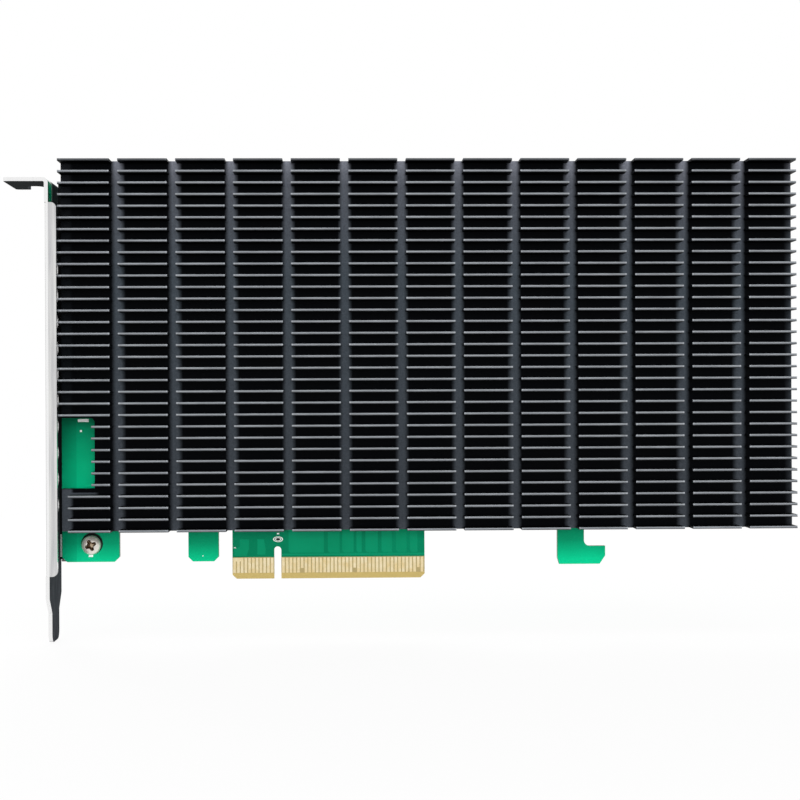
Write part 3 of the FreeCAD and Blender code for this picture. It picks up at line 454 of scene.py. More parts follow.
for low_z, high_z in TAIL_COPPER_HEIGHTS:
    raise_outline(back_pours, [(104.0, low_z), (124.0, low_z), (126.0, low_z + 2.0),
                               (126.0, high_z - 2.0), (124.0, high_z), (104.0, high_z),
                               (102.0, high_z - 2.0), (102.0, low_z + 2.0)],
                  back_face, COPPER_RISE)
    hole_spots += [(106.0 + TAIL_HOLE_PITCH[0] * column, low_z + 3.0 + TAIL_HOLE_PITCH[1] * row)
                   for row in range(TAIL_HOLES[1]) for column in range(TAIL_HOLES[0])]
new_piece("back_copper_areas", back_pours, pour_finish)
hole_spots += [(SWITCH_HOLES_CORNER[0] + SWITCH_HOLE_PITCH * column,
                SWITCH_HOLES_CORNER[1] + SWITCH_HOLE_PITCH * row)
               for row in range(SWITCH_HOLES) for column in range(SWITCH_HOLES)]
back_holes = bmesh.new()
back_bores = bmesh.new()
taken = []
for x, z in hole_spots:
    if any(math.dist((x, z), spot) <= 2 * HOLE_PAD_RADIUS + 0.02 for spot in taken):
        continue
    taken.append((x, z))
    raise_ring(back_holes, x, z, HOLE_PAD_RADIUS, HOLE_RADIUS, back_face, COPPER_RISE * 1.4, count=10)
    raise_outline(back_bores, ring_of(x, z, HOLE_RADIUS, 8), back_face, COPPER_RISE * 0.6)
new_piece("plated_holes", back_holes, tin_finish)
new_piece("plated_hole_bores", back_bores, bore_and_shadow_finish)


# Drive sockets: black heat-proof mouldings, soldered down, with two rows of sprung gold contacts
# in the mouth and their tinned tails on the board behind.

def add_block(shell, low, high, bevel=0.0):
    """A block between two corners in millimetres, with its edges broken where bevel is given."""
    made = bmesh.ops.create_cube(shell, size=1.0)
    middle = [(a + b) / 2 * MM for a, b in zip(low, high)]
    sides = [(b - a) * MM for a, b in zip(low, high)]
    bmesh.ops.transform(shell, verts=made["verts"],
                        matrix=Matrix.Translation(middle) @ Matrix.Diagonal((*sides, 1.0)))
    if bevel:
        edges = {edge for vert in made["verts"] for edge in vert.link_edges}
        bmesh.ops.bevel(shell, geom=list(edges), offset=bevel * MM, segments=2, affect="EDGES")


moulding_finish = new_finish("black_moulding", (0.022, 0.022, 0.023), roughness=0.42)
roughen(moulding_finish, grain(moulding_finish, 7.0), 0.012)
vary_gloss(moulding_finish, 0.5, 0.6)
CONTACTS, CONTACT_PITCH = 38, 0.5
KEY_BELOW_MIDDLE, KEY_HALF = 6.13, 0.6
# The two rows of springs in the mouth, each from its front to its back.
SPRING_ROWS = ((-3.32, -3.14), (-4.16, -3.98))
tails = bmesh.new()
springs = bmesh.new()
for bay, ((low, high), middle) in enumerate(zip(socket_boxes, socket_heights), start=1):
    wear(f"m2_socket_{bay}", moulding_finish)
    rear, mouth = low.x / MM, high.x / MM
    for step in range(CONTACTS):
        z = middle - 9.25 + CONTACT_PITCH * step
        add_block(tails, (rear - 0.9, -1.0, z - 0.11), (rear, -BOARD_HALF, z + 0.11))
        if abs(z - (middle - KEY_BELOW_MIDDLE)) > KEY_HALF:
            for front, back in SPRING_ROWS:
                add_block(springs, (mouth - 4.6, front, z - 0.12), (mouth - 0.5, back, z + 0.12))
new_piece("socket_tails", tails, tin_finish)
new_piece("socket_springs", springs, gold_finish)

# Turned brass nuts take the drives' screws, and soft silicone pads carry the heat to the heatsink.
brass_finish = new_finish("turned_brass", (0.82, 0.63, 0.30), metallic=1.0, roughness=0.22)
vary_gloss(brass_finish, 4.0, 0.42, (1, 0.2, 1))
wear("drive_nuts", brass_finish)
pad_finish = new_finish("soft_blue_grey_pad", (0.29, 0.36, 0.43), roughness=0.85)
roughen(pad_finish, grain(pad_finish, 3.0), 0.05)
mottle(pad_finish, 5.0, (0.37, 0.44, 0.51))
wear("drive_pads", pad_finish)
wear("switch_pad", pad_finish)


# Switch: a bare laminate carrier with solder balls under it and a stamped, nickel plated copper
# lid glued on top.

carrier_finish = new_finish("dark_green_carrier", (0.010, 0.09, 0.05), roughness=0.4)
roughen(carrier_finish, grain(carrier_finish, 2.5), 0.008)
wear("switch_carrier", carrier_finish)
lid_finish = new_finish("nickel_lid", (0.62, 0.61, 0.58), metallic=1.0, roughness=0.28)
vary_gloss(lid_finish, 0.8, 0.45)
roughen(lid_finish, grain(lid_finish, 6.0), 0.003)
wear("switch_lid", lid_finish)


# Power and support parts: moulded chips, pressed iron inductors and capacitors, each soldered to
# the board by its tinned ends, legs or edge pads.

def solids_of(node):
    """The box of each separate solid of a node, in millimetres."""
    shell = bmesh.new()
    shell.from_mesh(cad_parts[node].data)
    bmesh.ops.remove_doubles(shell, verts=shell.verts, dist=0.002 * MM)
    left, boxes = set(shell.verts), []
    while left:
        found, waiting = set(), [left.pop()]
        while waiting:
            here = waiting.pop()
            found.add(here)
            for link in here.link_edges:
                other = link.other_vert(here)
                if other in left:
                    left.remove(other)
                    waiting.append(other)
        boxes.append((tuple(min(v.co[a] for v in found) / MM for a in range(3)),
                      tuple(max(v.co[a] for v in found) / MM for a in range(3))))
    shell.free()
    return sorted(boxes)


TIN_SKIN = 0.03


def cap_ends(shell, node, axis, length):
    """Tinned ends wrapped round both ends of each solid."""
    for low, high in solids_of(node):
        for end in (0, 1):
            near, far = [one - TIN_SKIN for one in low], [one + TIN_SKIN for one in high]
            if low[1] > 0:
                near[1] = low[1]
            else:
                far[1] = high[1]
            if end:
                near[axis] = high[axis] - length
            else:
                far[axis] = low[axis] + length
            add_block(shell, near, far, 0.05)


def edge_pads(shell, node, pitch, width):
    """Rows of small tinned pads that show round the foot of a flat chip."""
    for low, high in solids_of(node):
        for along, across_axis in ((0, 2), (2, 0)):
            count = int((high[along] - low[along] - 0.6) / pitch)
            middle = (low[along] + high[along]) / 2
            for step in range(count + 1):
                here = middle + (step - count / 2) * pitch
                for side in (low[across_axis], high[across_axis]):
                    near, far = [0.0, -BOARD_HALF - 0.22, 0.0], [0.0, -BOARD_HALF, 0.0]
                    near[along], far[along] = here - width / 2, here + width / 2
                    near[across_axis], far[across_axis] = side - 0.16, side + 0.16
                    add_block(shell, near, far)


epoxy_finish = new_finish("moulded_epoxy", (0.022, 0.022, 0.025), roughness=0.55)
roughen(epoxy_finish, grain(epoxy_finish, 9.0), 0.01)
mottle(epoxy_finish, 12.0, (0.045, 0.045, 0.048), 0.4, 0.7)
for node in ("power_stages", "drive_power_guards", "clock_buffer", "management_chip", "bulk_capacitors",
             "chip_resistors"):
    wear(node, epoxy_finish)

# The memory chip's legs are tinned and its shell, which starts above them, is black.
LEG_HEIGHT = 0.245
legs_finish = new_finish("epoxy_with_tinned_legs", (0.026, 0.026, 0.029), roughness=0.5)
leg_part = sums(legs_finish, "GREATER_THAN", place_in(legs_finish)[1], (-BOARD_HALF - LEG_HEIGHT) * MM)
wire(legs_finish, "Base Color", blend_colours(
    legs_finish, leg_part, (0.026, 0.026, 0.029), (0.75, 0.75, 0.73)))
wire(legs_finish, "Metallic", leg_part)
roughen(legs_finish, grain(legs_finish, 8.0), 0.01)
wear("flash_chip", legs_finish)

iron_finish = new_finish("pressed_iron", (0.075, 0.075, 0.08), roughness=0.7)
roughen(iron_finish, grain(iron_finish, 4.0), 0.04)
mottle(iron_finish, 6.0, (0.14, 0.14, 0.15))
wear("drive_supply_coils", iron_finish)
wear("core_supply_coils", iron_finish)

ceramic_finish = new_finish("fired_ceramic", (0.42, 0.29, 0.17), roughness=0.45)
mottle(ceramic_finish, 2.0, (0.56, 0.42, 0.27))
wear("ceramic_capacitors", ceramic_finish)
wear("coupling_capacitors", ceramic_finish)
wear("crystal", lid_finish)

tinned = bmesh.new()
cap_ends(tinned, "ceramic_capacitors", 0, 0.45)
cap_ends(tinned, "chip_resistors", 0, 0.32)
cap_ends(tinned, "coupling_capacitors", 2, 0.24)
new_piece("tinned_ends", tinned, tin_finish)
pads_shown = bmesh.new()
for node, pitch, width in (("power_stages", 0.65, 0.3), ("drive_power_guards", 0.5, 0.25),
                           ("clock_buffer", 0.5, 0.25), ("management_chip", 0.5, 0.25)):
    edge_pads(pads_shown, node, pitch, width)
new_piece("chip_edge_pads", pads_shown, tin_finish)
# Each tab folds up the side of its part by so much and lies on a foot beside it.
tabs = bmesh.new()
for node, axis, width, rise in (("bulk_capacitors", 2, 2.4, 1.1), ("drive_supply_coils", 0, 3.4, 1.6),
                                ("core_supply_coils", 0, 2.6, 1.1)):
    for low, high in solids_of(node):
        other = 2 - axis
        middle = (low[other] + high[other]) / 2
        for side, way in ((low[axis], -1), (high[axis], 1)):
            near, far = [0.0, -BOARD_HALF - rise, 0.0], [0.0, -BOARD_HALF, 0.0]
            near[other], far[other] = middle - width / 2, middle + width / 2
            near[axis], far[axis] = sorted((side - 0.05 * way, side + 0.15 * way))
            add_block(tabs, near, far, 0.04)
            near[1] = -BOARD_HALF - 0.15
            near[axis], far[axis] = sorted((side, side + 0.7 * way))
            add_block(tabs, near, far, 0.04)
new_piece("solder_tabs", tabs, tin_finish)


# Heatsink: one aluminium block with thin fins, cross-cut by milled channels and black anodised.
# The fins' cut tips are a satin grey, partly bare metal and partly painted sheen, the milled channel floors
# carry a painted slate sheen, and the rest is black, darkened between the fins by painted shade.

sink_low, sink_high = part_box("heatsink")
GAP_UNDER_SINK, SINK_BASE = 5.9, 2.5
SINK_FLOOR_LEVEL = -(BOARD_HALF + GAP_UNDER_SINK + SINK_BASE) * MM
CHANNEL_START = sink_low.x + 13.25 * MM
CHANNEL_WIDTH, CHANNEL_PITCH = 2.2 * MM, 14.9 * MM
FIN_PITCH, FIN_THICKNESS = 3.0 * MM, 0.6 * MM
ROOM_FOR_PLAY = 0.05 * MM
SHEEN_FADE = (0.65 * MM, 1.85 * MM)
LEAN_ENDS, LEAN = (-50 * MM, 95 * MM), (0.6 * MM, -0.45 * MM)
RIGHT_END_FADE = (sink_high.x - 1.9 * MM, sink_high.x - 0.1 * MM)
SET_BACK_FADE, SET_BACK_TOP = (sink_low.x + 2.2 * MM, sink_low.x + 3.0 * MM), (24.4 * MM, 25.0 * MM)
BAR_FADE, BAR_HEIGHTS = (sink_low.x + 8.2 * MM, sink_low.x + 9.6 * MM), (22.3 * MM, 23.7 * MM)
END_HIGHLIGHT, END_HIGHLIGHT_LIFT = 0.4 * MM, 0.28
# Between the fins the black is painted darker than the dye's own black, as shade.
FIN_SHADED_BLACK, TIP_GREY_AND_SHEEN = (0.0012, 0.0016, 0.0024), (0.235, 0.25, 0.27)
OUTSIDE_BLACK = (0.016, 0.017, 0.020)
# Painted sheen greys of the channel floors at four heights: the bottom edge, the middle, near the top and
# the top edge, lighter towards the top as painted light from above.
CHANNEL_SHEEN_GREYS = ((20, (0.054, 0.062, 0.074)), (80, (0.066, 0.081, 0.098)), (104, (0.105, 0.115, 0.138)),
                 (110, (0.18, 0.19, 0.225)))

anodised = new_finish("black_anodised_aluminium", FIN_SHADED_BLACK, roughness=0.5, Specular_IOR_Level=0.05)
across, deep, up = place_in(anodised)
facing = outward_in(anodised)[1]
flat_on = sums(anodised, "GREATER_THAN", sums(anodised, "ABSOLUTE", facing), 0.7)
on_tip = sums(anodised, "MULTIPLY", flat_on,
              sums(anodised, "LESS_THAN", deep, sink_low.y + ROOM_FOR_PLAY))
on_floor = sums(anodised, "MULTIPLY", flat_on,
                between(anodised, deep, SINK_FLOOR_LEVEL - ROOM_FOR_PLAY, SINK_FLOOR_LEVEL + ROOM_FOR_PLAY))
# The painted sheen on a channel's floor leans to the card's middle and fades out towards the fins. It is
# painted at the right end too, beside the set-back rows and in a bar under the corner window.
lean = spread(anodised, across, *LEAN_ENDS, *LEAN)
offset = sums(anodised, "SUBTRACT", sums(anodised, "SUBTRACT", across, lean),
              CHANNEL_START + CHANNEL_WIDTH / 2 - CHANNEL_PITCH / 2)
offset = sums(anodised, "SUBTRACT", sums(anodised, "FLOORED_MODULO", offset, CHANNEL_PITCH),
              CHANNEL_PITCH / 2)
in_channel = spread(anodised, sums(anodised, "ABSOLUTE", offset), *SHEEN_FADE, 1.0, 0.0)
in_channel = sums(anodised, "MULTIPLY", in_channel,
                  sums(anodised, "GREATER_THAN", across, sink_low.x + 5.0 * MM))
right_end = spread(anodised, across, *RIGHT_END_FADE, 0.0, 0.5)
in_channel = sums(anodised, "MAXIMUM", in_channel, right_end)
left_rows = sums(anodised, "MULTIPLY", spread(anodised, across, *SET_BACK_FADE, 1.0, 0.0),
                 spread(anodised, up, *SET_BACK_TOP, 1.0, 0.06))
under_window = sums(anodised, "MULTIPLY", between(anodised, up, *BAR_HEIGHTS),
                    spread(anodised, across, *BAR_FADE, 1.1, 0.0))
left_rows = sums(anodised, "MAXIMUM", left_rows, under_window)
sheen_floor = sums(anodised, "MULTIPLY", on_floor, sums(anodised, "MAXIMUM", in_channel, left_rows))
sheen_colour = CHANNEL_SHEEN_GREYS[0][1]
for (from_z, _), (to_z, lighter) in zip(CHANNEL_SHEEN_GREYS, CHANNEL_SHEEN_GREYS[1:]):
    sheen_colour = blend_colours(anodised, spread(anodised, up, from_z * MM, to_z * MM, 0.0, 1.0), sheen_colour, lighter)
sheen_colour = shade_by(anodised, sheen_colour, drift(anodised, 3.0, 0.82, 1.15))
# Each tip carries a painted highlight near its ends, beside the channels.
past = sums(anodised, "FLOORED_MODULO", sums(anodised, "SUBTRACT", across, CHANNEL_START), CHANNEL_PITCH)
end_highlight = sums(anodised, "MAXIMUM",
                between(anodised, past, CHANNEL_WIDTH, CHANNEL_WIDTH + END_HIGHLIGHT),
                sums(anodised, "GREATER_THAN", past, CHANNEL_PITCH - END_HIGHLIGHT))
tip_light = sums(anodised, "MULTIPLY", drift(anodised, 1.4, 0.85, 1.15, (8, 1, 1)),
                 sums(anodised, "ADD", 1.0, sums(anodised, "MULTIPLY", end_highlight, END_HIGHLIGHT_LIFT)))
# The lower part of each tip carries painted shade, as under a rounded edge lit from above, and the topmost
# fin's tip is darker as well.
up_tip = sums(anodised, "FLOORED_MODULO", sums(anodised, "SUBTRACT", up, sink_low.z), FIN_PITCH)
tip_light = sums(anodised, "MULTIPLY", tip_light,
                 spread(anodised, up_tip, 0.1 * FIN_THICKNESS, 0.55 * FIN_THICKNESS, 0.12, 1.0))
top_fin = sums(anodised, "GREATER_THAN", up, sink_high.z - FIN_PITCH / 2)
tip_light = sums(anodised, "MULTIPLY", tip_light,
                 sums(anodised, "SUBTRACT", 1.0, sums(anodised, "MULTIPLY", top_fin, 0.6)))
# The tips' satin grey is partly bare metal and partly painted sheen.
tip = shade_by(anodised, TIP_GREY_AND_SHEEN, tip_light)
# The outsides of the block, its back, its top and its ends, show the dye's own soft black.
outside = sums(anodised, "MAXIMUM", sums(anodised, "GREATER_THAN", up, sink_high.z - ROOM_FOR_PLAY),
               sums(anodised, "GREATER_THAN", deep, sink_high.y - ROOM_FOR_PLAY))
ends = sums(anodised, "MAXIMUM", sums(anodised, "GREATER_THAN", across, sink_high.x - ROOM_FOR_PLAY),
            sums(anodised, "LESS_THAN", across, sink_low.x + ROOM_FOR_PLAY))
outside = sums(anodised, "MULTIPLY", sums(anodised, "MAXIMUM", outside, ends),
               sums(anodised, "GREATER_THAN", facing, -0.7))
body = blend_colours(anodised, sheen_floor, FIN_SHADED_BLACK, sheen_colour)
body = blend_colours(anodised, outside, body, OUTSIDE_BLACK)
wire(anodised, "Base Color", blend_colours(anodised, on_tip, body, tip))
wire(anodised, "Roughness", spread(anodised, on_tip, 0.0, 1.0, 0.5, 0.38))
roughen(anodised, grain(anodised, 5.0), 0.008)
wear("heatsink", anodised)
wear("switch_pedestal", anodised)

post_finish = new_finish("nickel_plated_brass", (0.72, 0.68, 0.58), metallic=1.0, roughness=0.22)
vary_gloss(post_finish, 3.0, 0.42)
wear("heatsink_posts", post_finish)


# Screws: cold-headed pan-head screws of nickel plated steel with cross recesses. Two from the
# component side hold the bracket, and six from the back hold the heatsink.

screw_finish = new_finish("nickel_plated_steel", (0.80, 0.76, 0.69), metallic=0.55, roughness=0.26)
vary_gloss(screw_finish, 2.0, 0.4)
roughen(screw_finish, grain(screw_finish, 3.0), 0.002)
# The recess is dark brown, with pale tan spots as painted highlights.
recess_finish = new_finish("dark_brown_recess", (0.11, 0.062, 0.03), metallic=0.8, roughness=0.36)
roughen(recess_finish, grain(recess_finish, 4.0), 0.02)
mottle(recess_finish, 1.1, (0.60, 0.48, 0.33), 0.46, 0.58)
BRACKET_SCREW = dict(head_radius=2.6, head_height=1.9, shank_radius=1.5, shank_length=3.17,
                     recess=3.3, depth=1.25)
SINK_SCREW = dict(head_radius=2.3, head_height=1.5, shank_radius=1.25, shank_length=9.07,
                  recess=2.7, depth=1.0)
SINK_SCREWS_X, SINK_SCREW_HEIGHTS = (-40.0, -4.0, 130.0), (20.2, 105.0)
# A head's rim is upright up to this share of its height, and the two powers round the dome above.
RIM_SHARE, DOME_REACH, DOME_RISE = 0.08, 0.62, 0.9
DOME_STEPS, ROUND_STEPS = 10, 48


def dome_level(head_height, angle):
    """The height of a pan head where its curve has turned by an angle from its rim."""
    return head_height * (RIM_SHARE + (1 - RIM_SHARE) * math.sin(angle) ** DOME_RISE)


def new_object(name, shell):
    """Puts a shell in the scene by itself."""
    mesh = bpy.data.meshes.new(name)
    shell.to_mesh(mesh)
    shell.free()
    made = bpy.data.objects.new(name, mesh)
    bpy.context.scene.collection.objects.link(made)
    return made


def rounded_slot(long_half, wide_half, steps=6):
    """The outline of a slot with round ends."""
    turns = [math.pi * (step / steps - 0.5) for step in range(steps + 1)]
    right = [(long_half - wide_half + wide_half * math.cos(a), wide_half * math.sin(a)) for a in turns]
    return right + [(-x, -z) for x, z in right]


def pan_screw(head_radius, head_height, shank_radius, shank_length, recess, depth):
    """A pan-head screw: its head stands along +Y from the origin and its shank runs along -Y."""
    shell = bmesh.new()
    outline = [(0.0, -shank_length), (shank_radius * 0.8, -shank_length),
               (shank_radius, -shank_length + 0.25 * shank_radius), (shank_radius, 0.0),
               (head_radius * 0.97, 0.0), (head_radius, head_height * RIM_SHARE)]
    for step in range(1, DOME_STEPS + 1):
        angle = math.pi / 2 * step / DOME_STEPS
        outline.append((head_radius * math.cos(angle) ** DOME_REACH, dome_level(head_height, angle)))
    outline[-1] = (0.0, head_height)
    rings = []
    for radius, level in outline:
        if radius < 1e-6:
            rings.append([shell.verts.new((0, level * MM, 0))])
        else:
            rings.append([shell.verts.new((px * MM, level * MM, pz * MM))
                          for px, pz in ring_of(0, 0, radius, ROUND_STEPS)])
    for one, two in zip(rings, rings[1:]):
        for here in range(ROUND_STEPS):
            after = (here + 1) % ROUND_STEPS
            corners = [one[here % len(one)], one[after % len(one)], two[after % len(two)],
                       two[here % len(two)]]
            shell.faces.new(list(dict.fromkeys(corners)))
    bmesh.ops.recalc_face_normals(shell, faces=shell.faces)
    blank = new_object("screw_blank", shell)
    tools = []
    top = head_height + 0.1
    for crosswise in (False, True):
        shell = bmesh.new()
        loops = []
        for level, share in ((top, 1.0), (head_height - depth * 0.45, 0.86), (head_height - depth, 0.5)):
            outline = rounded_slot(recess / 2 * share, recess * 0.155 * share)
            loops.append([shell.verts.new((px * MM, level * MM, pz * MM)) for px, pz in
                          ([(z, x) for x, z in outline] if crosswise else outline)])
        shell.faces.new(loops[0])
        shell.faces.new(loops[-1])
        for one, two in zip(loops, loops[1:]):
            for here in range(len(one)):
                after = (here + 1) % len(one)
                shell.faces.new((one[here], one[after], two[after], two[here]))
        bmesh.ops.recalc_face_normals(shell, faces=shell.faces)
        tools.append(shell)
    shell = bmesh.new()
    bmesh.ops.create_cone(shell, cap_ends=True, segments=16, radius1=0.1 * recess * MM,
                          radius2=0.3 * recess * MM, depth=(depth + 0.1) * MM,
                          matrix=Matrix.Translation((0, (head_height - depth / 2 + 0.05) * MM, 0))
                          @ Matrix.Rotation(-math.pi / 2, 4, "X"))
    tools.append(shell)
    for shell in tools:
        tool = new_object("recess_tool", shell)
        cut = blank.modifiers.new("recess", "BOOLEAN")
        cut.operation, cut.solver, cut.object = "DIFFERENCE", "EXACT", tool
        bpy.context.view_layer.update()
        cut_mesh = bpy.data.meshes.new_from_object(
            blank.evaluated_get(bpy.context.evaluated_depsgraph_get()))
        blank.modifiers.clear()
        blank.data = cut_mesh
        bpy.data.objects.remove(tool)
    made = blank.data
    bpy.data.objects.remove(blank)
    return made


def set_screws(name, size, spots, face, outward, node):
    """Screws at (x, z, turn) spots of a face, as one piece with its recesses darker."""
    blank = pan_screw(**size)
    head_radius, head_height = size["head_radius"], size["head_height"]
    shell = bmesh.new()
    for x, z, twist in spots:
        first = len(shell.faces)
        old = set(shell.verts)
        shell.from_mesh(blank)
        new = [vert for vert in shell.verts if vert not in old]
        turned = Matrix.Rotation(math.radians(twist), 4, "Y")
        if outward < 0:
            turned = Matrix.Rotation(math.pi, 4, "X") @ turned
        bmesh.ops.transform(shell, verts=new, matrix=Matrix.Translation((x * MM, face, z * MM)) @ turned)
        shell.faces.ensure_lookup_table()
        for spot in shell.faces[first:]:
            middle = spot.calc_center_median()
            out = math.hypot(middle.x - x * MM, middle.z - z * MM) / MM
            rise = (middle.y - face) * outward / MM
            share = min(1.0, out / head_radius)
            dome = dome_level(head_height, math.acos(share ** (1 / DOME_REACH)))
            inside = 0.02 < rise < dome - 0.06 * head_height and out < head_radius * 0.75
            spot.material_index = 1 if inside else 0
            spot.smooth = not inside
    piece = new_piece(name, shell, screw_finish)
    piece.data.materials.append(recess_finish)
    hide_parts(node)


set_screws("bracket_pan_screws", BRACKET_SCREW,
           [(BRACKET_SCREWS_X, z, turn) for z, turn in zip(BRACKET_SCREW_HEIGHTS, (24, 61))],
           front_face, -1, "bracket_screws")
sink_spots = [(x, z) for x in SINK_SCREWS_X for z in SINK_SCREW_HEIGHTS]
set_screws("heatsink_pan_screws", SINK_SCREW,
           [(x, z, 17 + 31 * count) for count, (x, z) in enumerate(sink_spots)],
           back_face, 1, "heatsink_screws")


# Bracket: one strip of steel sheet, blanked, folded and nickel plated. It is mirror-like, with
# fine rolling streaks along its length.

PLATE_INSIDE = -57.88
SHADE_FROM_DEPTH = (-11.0 * MM, -9.0 * MM)
SHADE_FROM_HEIGHT = (5.0 * MM, 2.5 * MM)
LIP_LEVEL = 95.0 * MM
BRUSHED_LIGHT, BRUSHED_DARK = (0.74, 0.74, 0.73), (0.56, 0.56, 0.57)
CUT_EDGE, INNER_FACE = (0.88, 0.88, 0.88), (0.94, 0.95, 0.95)
SHADE_DARK, SHADE_LIGHT = (0.045, 0.050, 0.058), (0.085, 0.092, 0.102)
UNDER_LIP_SHADE = (0.028, 0.030, 0.031)
GAP_SHADE_LOW, GAP_SHADE_HIGH = (PLATE_INSIDE, -0.6, 5.6), (-57.17, 0.6, 105.2)
GLINT_LOW, GLINT_HIGH = (-57.72, -0.72, 6.2), (-57.24, -0.6, 12.2)

sheet_finish = new_finish("nickel_plated_sheet", (0.80, 0.80, 0.79), metallic=1.0, roughness=0.2,
                          Specular_IOR_Level=0.0)
streaks = grain(sheet_finish, 2.2, (1, 1, 30), detail=4.0)
wire(sheet_finish, "Roughness", spread(sheet_finish, streaks, 0.3, 0.7, 0.14, 0.32))
across, deep, up = place_in(sheet_finish)
out_x, out_y, out_z = outward_in(sheet_finish)
bright = blend_colours(
    sheet_finish, spread(sheet_finish, grain(sheet_finish, 1.0, (1, 1, 22)), 0.35, 0.65, 0.0, 1.0),
    BRUSHED_DARK, BRUSHED_LIGHT)
# The cut edge of the plate is brighter than its faces.
on_edge = sums(sheet_finish, "MULTIPLY", sums(sheet_finish, "LESS_THAN", out_y, -0.6),
               sums(sheet_finish, "LESS_THAN", across, PLATE_INSIDE * MM))
bright = blend_colours(sheet_finish, on_edge, bright, CUT_EDGE)
# The plate's inner face, further back and low down, and the lip's underside carry painted shade: a dark
# matte colour stands for the shade and dark reflections there.
facing_in = sums(sheet_finish, "GREATER_THAN", out_x, 0.6)
bright = blend_colours(sheet_finish, facing_in, bright, INNER_FACE)
behind = spread(sheet_finish, deep, *SHADE_FROM_DEPTH, 0.0, 1.0)
low_down = spread(sheet_finish, up, *SHADE_FROM_HEIGHT, 0.0, 1.0)
inside = sums(sheet_finish, "MULTIPLY", facing_in, sums(sheet_finish, "MAXIMUM", behind, low_down))
under_lip = sums(sheet_finish, "MULTIPLY", sums(sheet_finish, "LESS_THAN", out_z, -0.6),
                 sums(sheet_finish, "GREATER_THAN", up, LIP_LEVEL))
shade_colour = blend_colours(
    sheet_finish, drift(sheet_finish, 1.2, 0.0, 1.0, (1, 1, 6)), SHADE_DARK, SHADE_LIGHT)
shade_colour = blend_colours(sheet_finish, under_lip, shade_colour, UNDER_LIP_SHADE)
painted_shade = sums(sheet_finish, "MAXIMUM", inside, under_lip)
wire(sheet_finish, "Base Color", blend_colours(sheet_finish, painted_shade, bright, shade_colour))
wire(sheet_finish, "Metallic", sums(sheet_finish, "SUBTRACT", 1.0, painted_shade))
roughen(sheet_finish, streaks, 0.006)
wear("bracket", sheet_finish)

# A black strip fills the gap between the board's edge and the plate as painted shade. A short pale strip on
# its front is a painted highlight along the board's edge.
gap_shade_finish = new_finish("black_gap_shade", (0.010, 0.011, 0.012), roughness=0.9, Specular_IOR_Level=0.1)
roughen(gap_shade_finish, grain(gap_shade_finish, 5.0), 0.03)
gap_shade_block = bmesh.new()
add_block(gap_shade_block, GAP_SHADE_LOW, GAP_SHADE_HIGH, 0.1)
new_piece("edge_gap_shade", gap_shade_block, gap_shade_finish)
# The pale strip is a painted highlight along the board's edge.
glint_finish = new_finish("pale_edge_glint", (0.36, 0.40, 0.38), roughness=0.7)
roughen(glint_finish, grain(glint_finish, 4.0), 0.02)
glint_strip = bmesh.new()
add_block(glint_strip, GLINT_LOW, GLINT_HIGH, 0.03)
new_piece("edge_glint_strip", glint_strip, glint_finish)


# Stage: a plain pale floor just under the card in a white room, a broad lamp above the card, one
# far in front of it and a weaker one behind. Seen from anywhere, the floor and the room are white.

FLOOR_DROP = 0.25 * MM
# The floor shows a trace of shadow near the card and none this far away.
SHADOW_FADE = (0.12, 0.5)
floor_finish = bpy.data.materials.new("pale_floor")
floor_finish.use_nodes = True
floor_tree = floor_finish.node_tree
floor_tree.nodes.remove(floor_tree.nodes["Principled BSDF"])
pale = add_node(floor_finish, "ShaderNodeBsdfDiffuse", {"Color": (0.88, 0.88, 0.88, 1.0)})
glow = add_node(floor_finish, "ShaderNodeEmission", {"Color": (1.0, 1.0, 1.0, 1.0), "Strength": 1.0})
rays = add_node(floor_finish, "ShaderNodeLightPath").outputs
seen_or_mirrored = sums(floor_finish, "MAXIMUM", rays["Is Camera Ray"], rays["Is Glossy Ray"])
spot = place_in(floor_finish)
away = sums(floor_finish, "SQRT", sums(floor_finish, "ADD", sums(floor_finish, "POWER", spot[0], 2.0),
                                       sums(floor_finish, "POWER", spot[1], 2.0)))
share = sums(floor_finish, "MULTIPLY", seen_or_mirrored,
             spread(floor_finish, away, *SHADOW_FADE, 0.92, 1.0))
mixed = add_node(floor_finish, "ShaderNodeMixShader",
                 {0: share, 1: pale.outputs[0], 2: glow.outputs[0]})
floor_tree.links.new(mixed.outputs[0], floor_tree.nodes["Material Output"].inputs[0])
floor_shell = bmesh.new()
bmesh.ops.create_grid(floor_shell, x_segments=1, y_segments=1, size=40.0)
floor = new_object("floor", floor_shell)
floor.data.materials.append(floor_finish)
floor.location.z = cad_box[0][2] - FLOOR_DROP

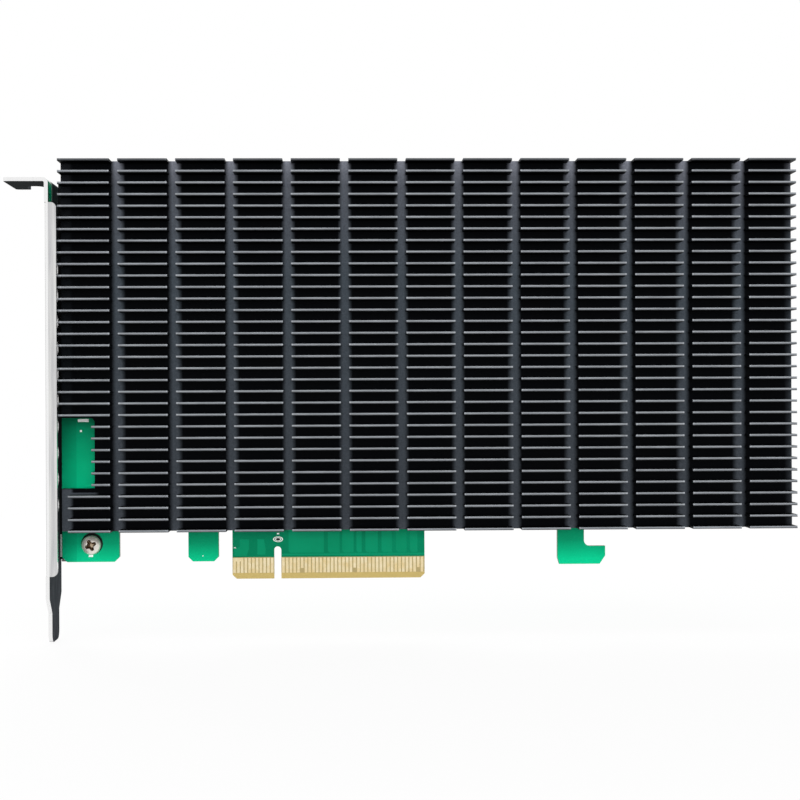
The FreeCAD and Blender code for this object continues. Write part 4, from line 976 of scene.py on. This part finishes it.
ROOM_LIGHT = 0.45
room = bpy.data.worlds.new("white_room")
bpy.context.scene.world = room
room.use_nodes = True
room_light = room.node_tree.nodes["Background"]
room_light.inputs["Color"].default_value = (1.0, 1.0, 1.0, 1.0)
rays = add_node(room, "ShaderNodeLightPath").outputs
shown = sums(room, "MAXIMUM", rays["Is Camera Ray"], rays["Is Glossy Ray"])
shown = sums(room, "MAXIMUM", shown, rays["Is Transmission Ray"])
room.node_tree.links.new(spread(room, shown, 0.0, 1.0, ROOM_LIGHT, 1.0), room_light.inputs["Strength"])

CARD_MIDDLE = (0.04, -0.01, 0.055)
# Each lamp's place, its width and height, and its power in watts.
LAMPS = {"lamp_above": ((0.04, -0.42, 0.72), (0.7, 0.35), 2.5),
         "lamp_in_front": ((0.06, -1.60, 0.16), (0.7, 0.5), 15.0),
         "lamp_behind": ((-0.15, 0.7, 0.45), (0.6, 0.5), 6.0)}
for name, (place, size, watts) in LAMPS.items():
    light = bpy.data.lights.new(name, "AREA")
    light.shape = "RECTANGLE"
    light.size, light.size_y = size
    light.energy = watts
    lamp = bpy.data.objects.new(name, light)
    bpy.context.scene.collection.objects.link(lamp)
    lamp.location = place
    way = Vector(CARD_MIDDLE) - Vector(place)
    lamp.rotation_euler = way.to_track_quat("-Z", "Y").to_euler()
    # Bright metal mirrors the white room, not the lamps.
    lamp.visible_glossy = False

# The camera stands straight in front of the card, a little under half a metre away.
CAMERA_PLACE = (19.63 * MM, -455.445 * MM, 47.78 * MM)
HALF_WIDTH, FOCAL_LENGTH = 400, 1701.29
TURN, NOD, TILT = 0.029, 0.0006, 0.0046
look = bpy.data.cameras.new("camera")
look.angle = 2 * math.atan(HALF_WIDTH / FOCAL_LENGTH)
look.clip_start = 0.01
camera = bpy.data.objects.new("camera", look)
bpy.context.scene.collection.objects.link(camera)
turn = Matrix.Rotation(TURN, 3, "Y")
nod = Matrix.Rotation(NOD, 3, "X")
tilt = Matrix(((math.cos(TILT), -math.sin(TILT), 0), (math.sin(TILT), math.cos(TILT), 0), (0, 0, 1)))
upright = Matrix(((1, 0, 0), (0, 0, 1), (0, -1, 0)))
facing_card = (tilt @ nod @ turn @ upright).transposed()
camera.matrix_world = Matrix.Translation(CAMERA_PLACE) @ facing_card.to_4x4()
bpy.context.scene.camera = camera
bpy.context.scene.view_settings.view_transform = "Standard"
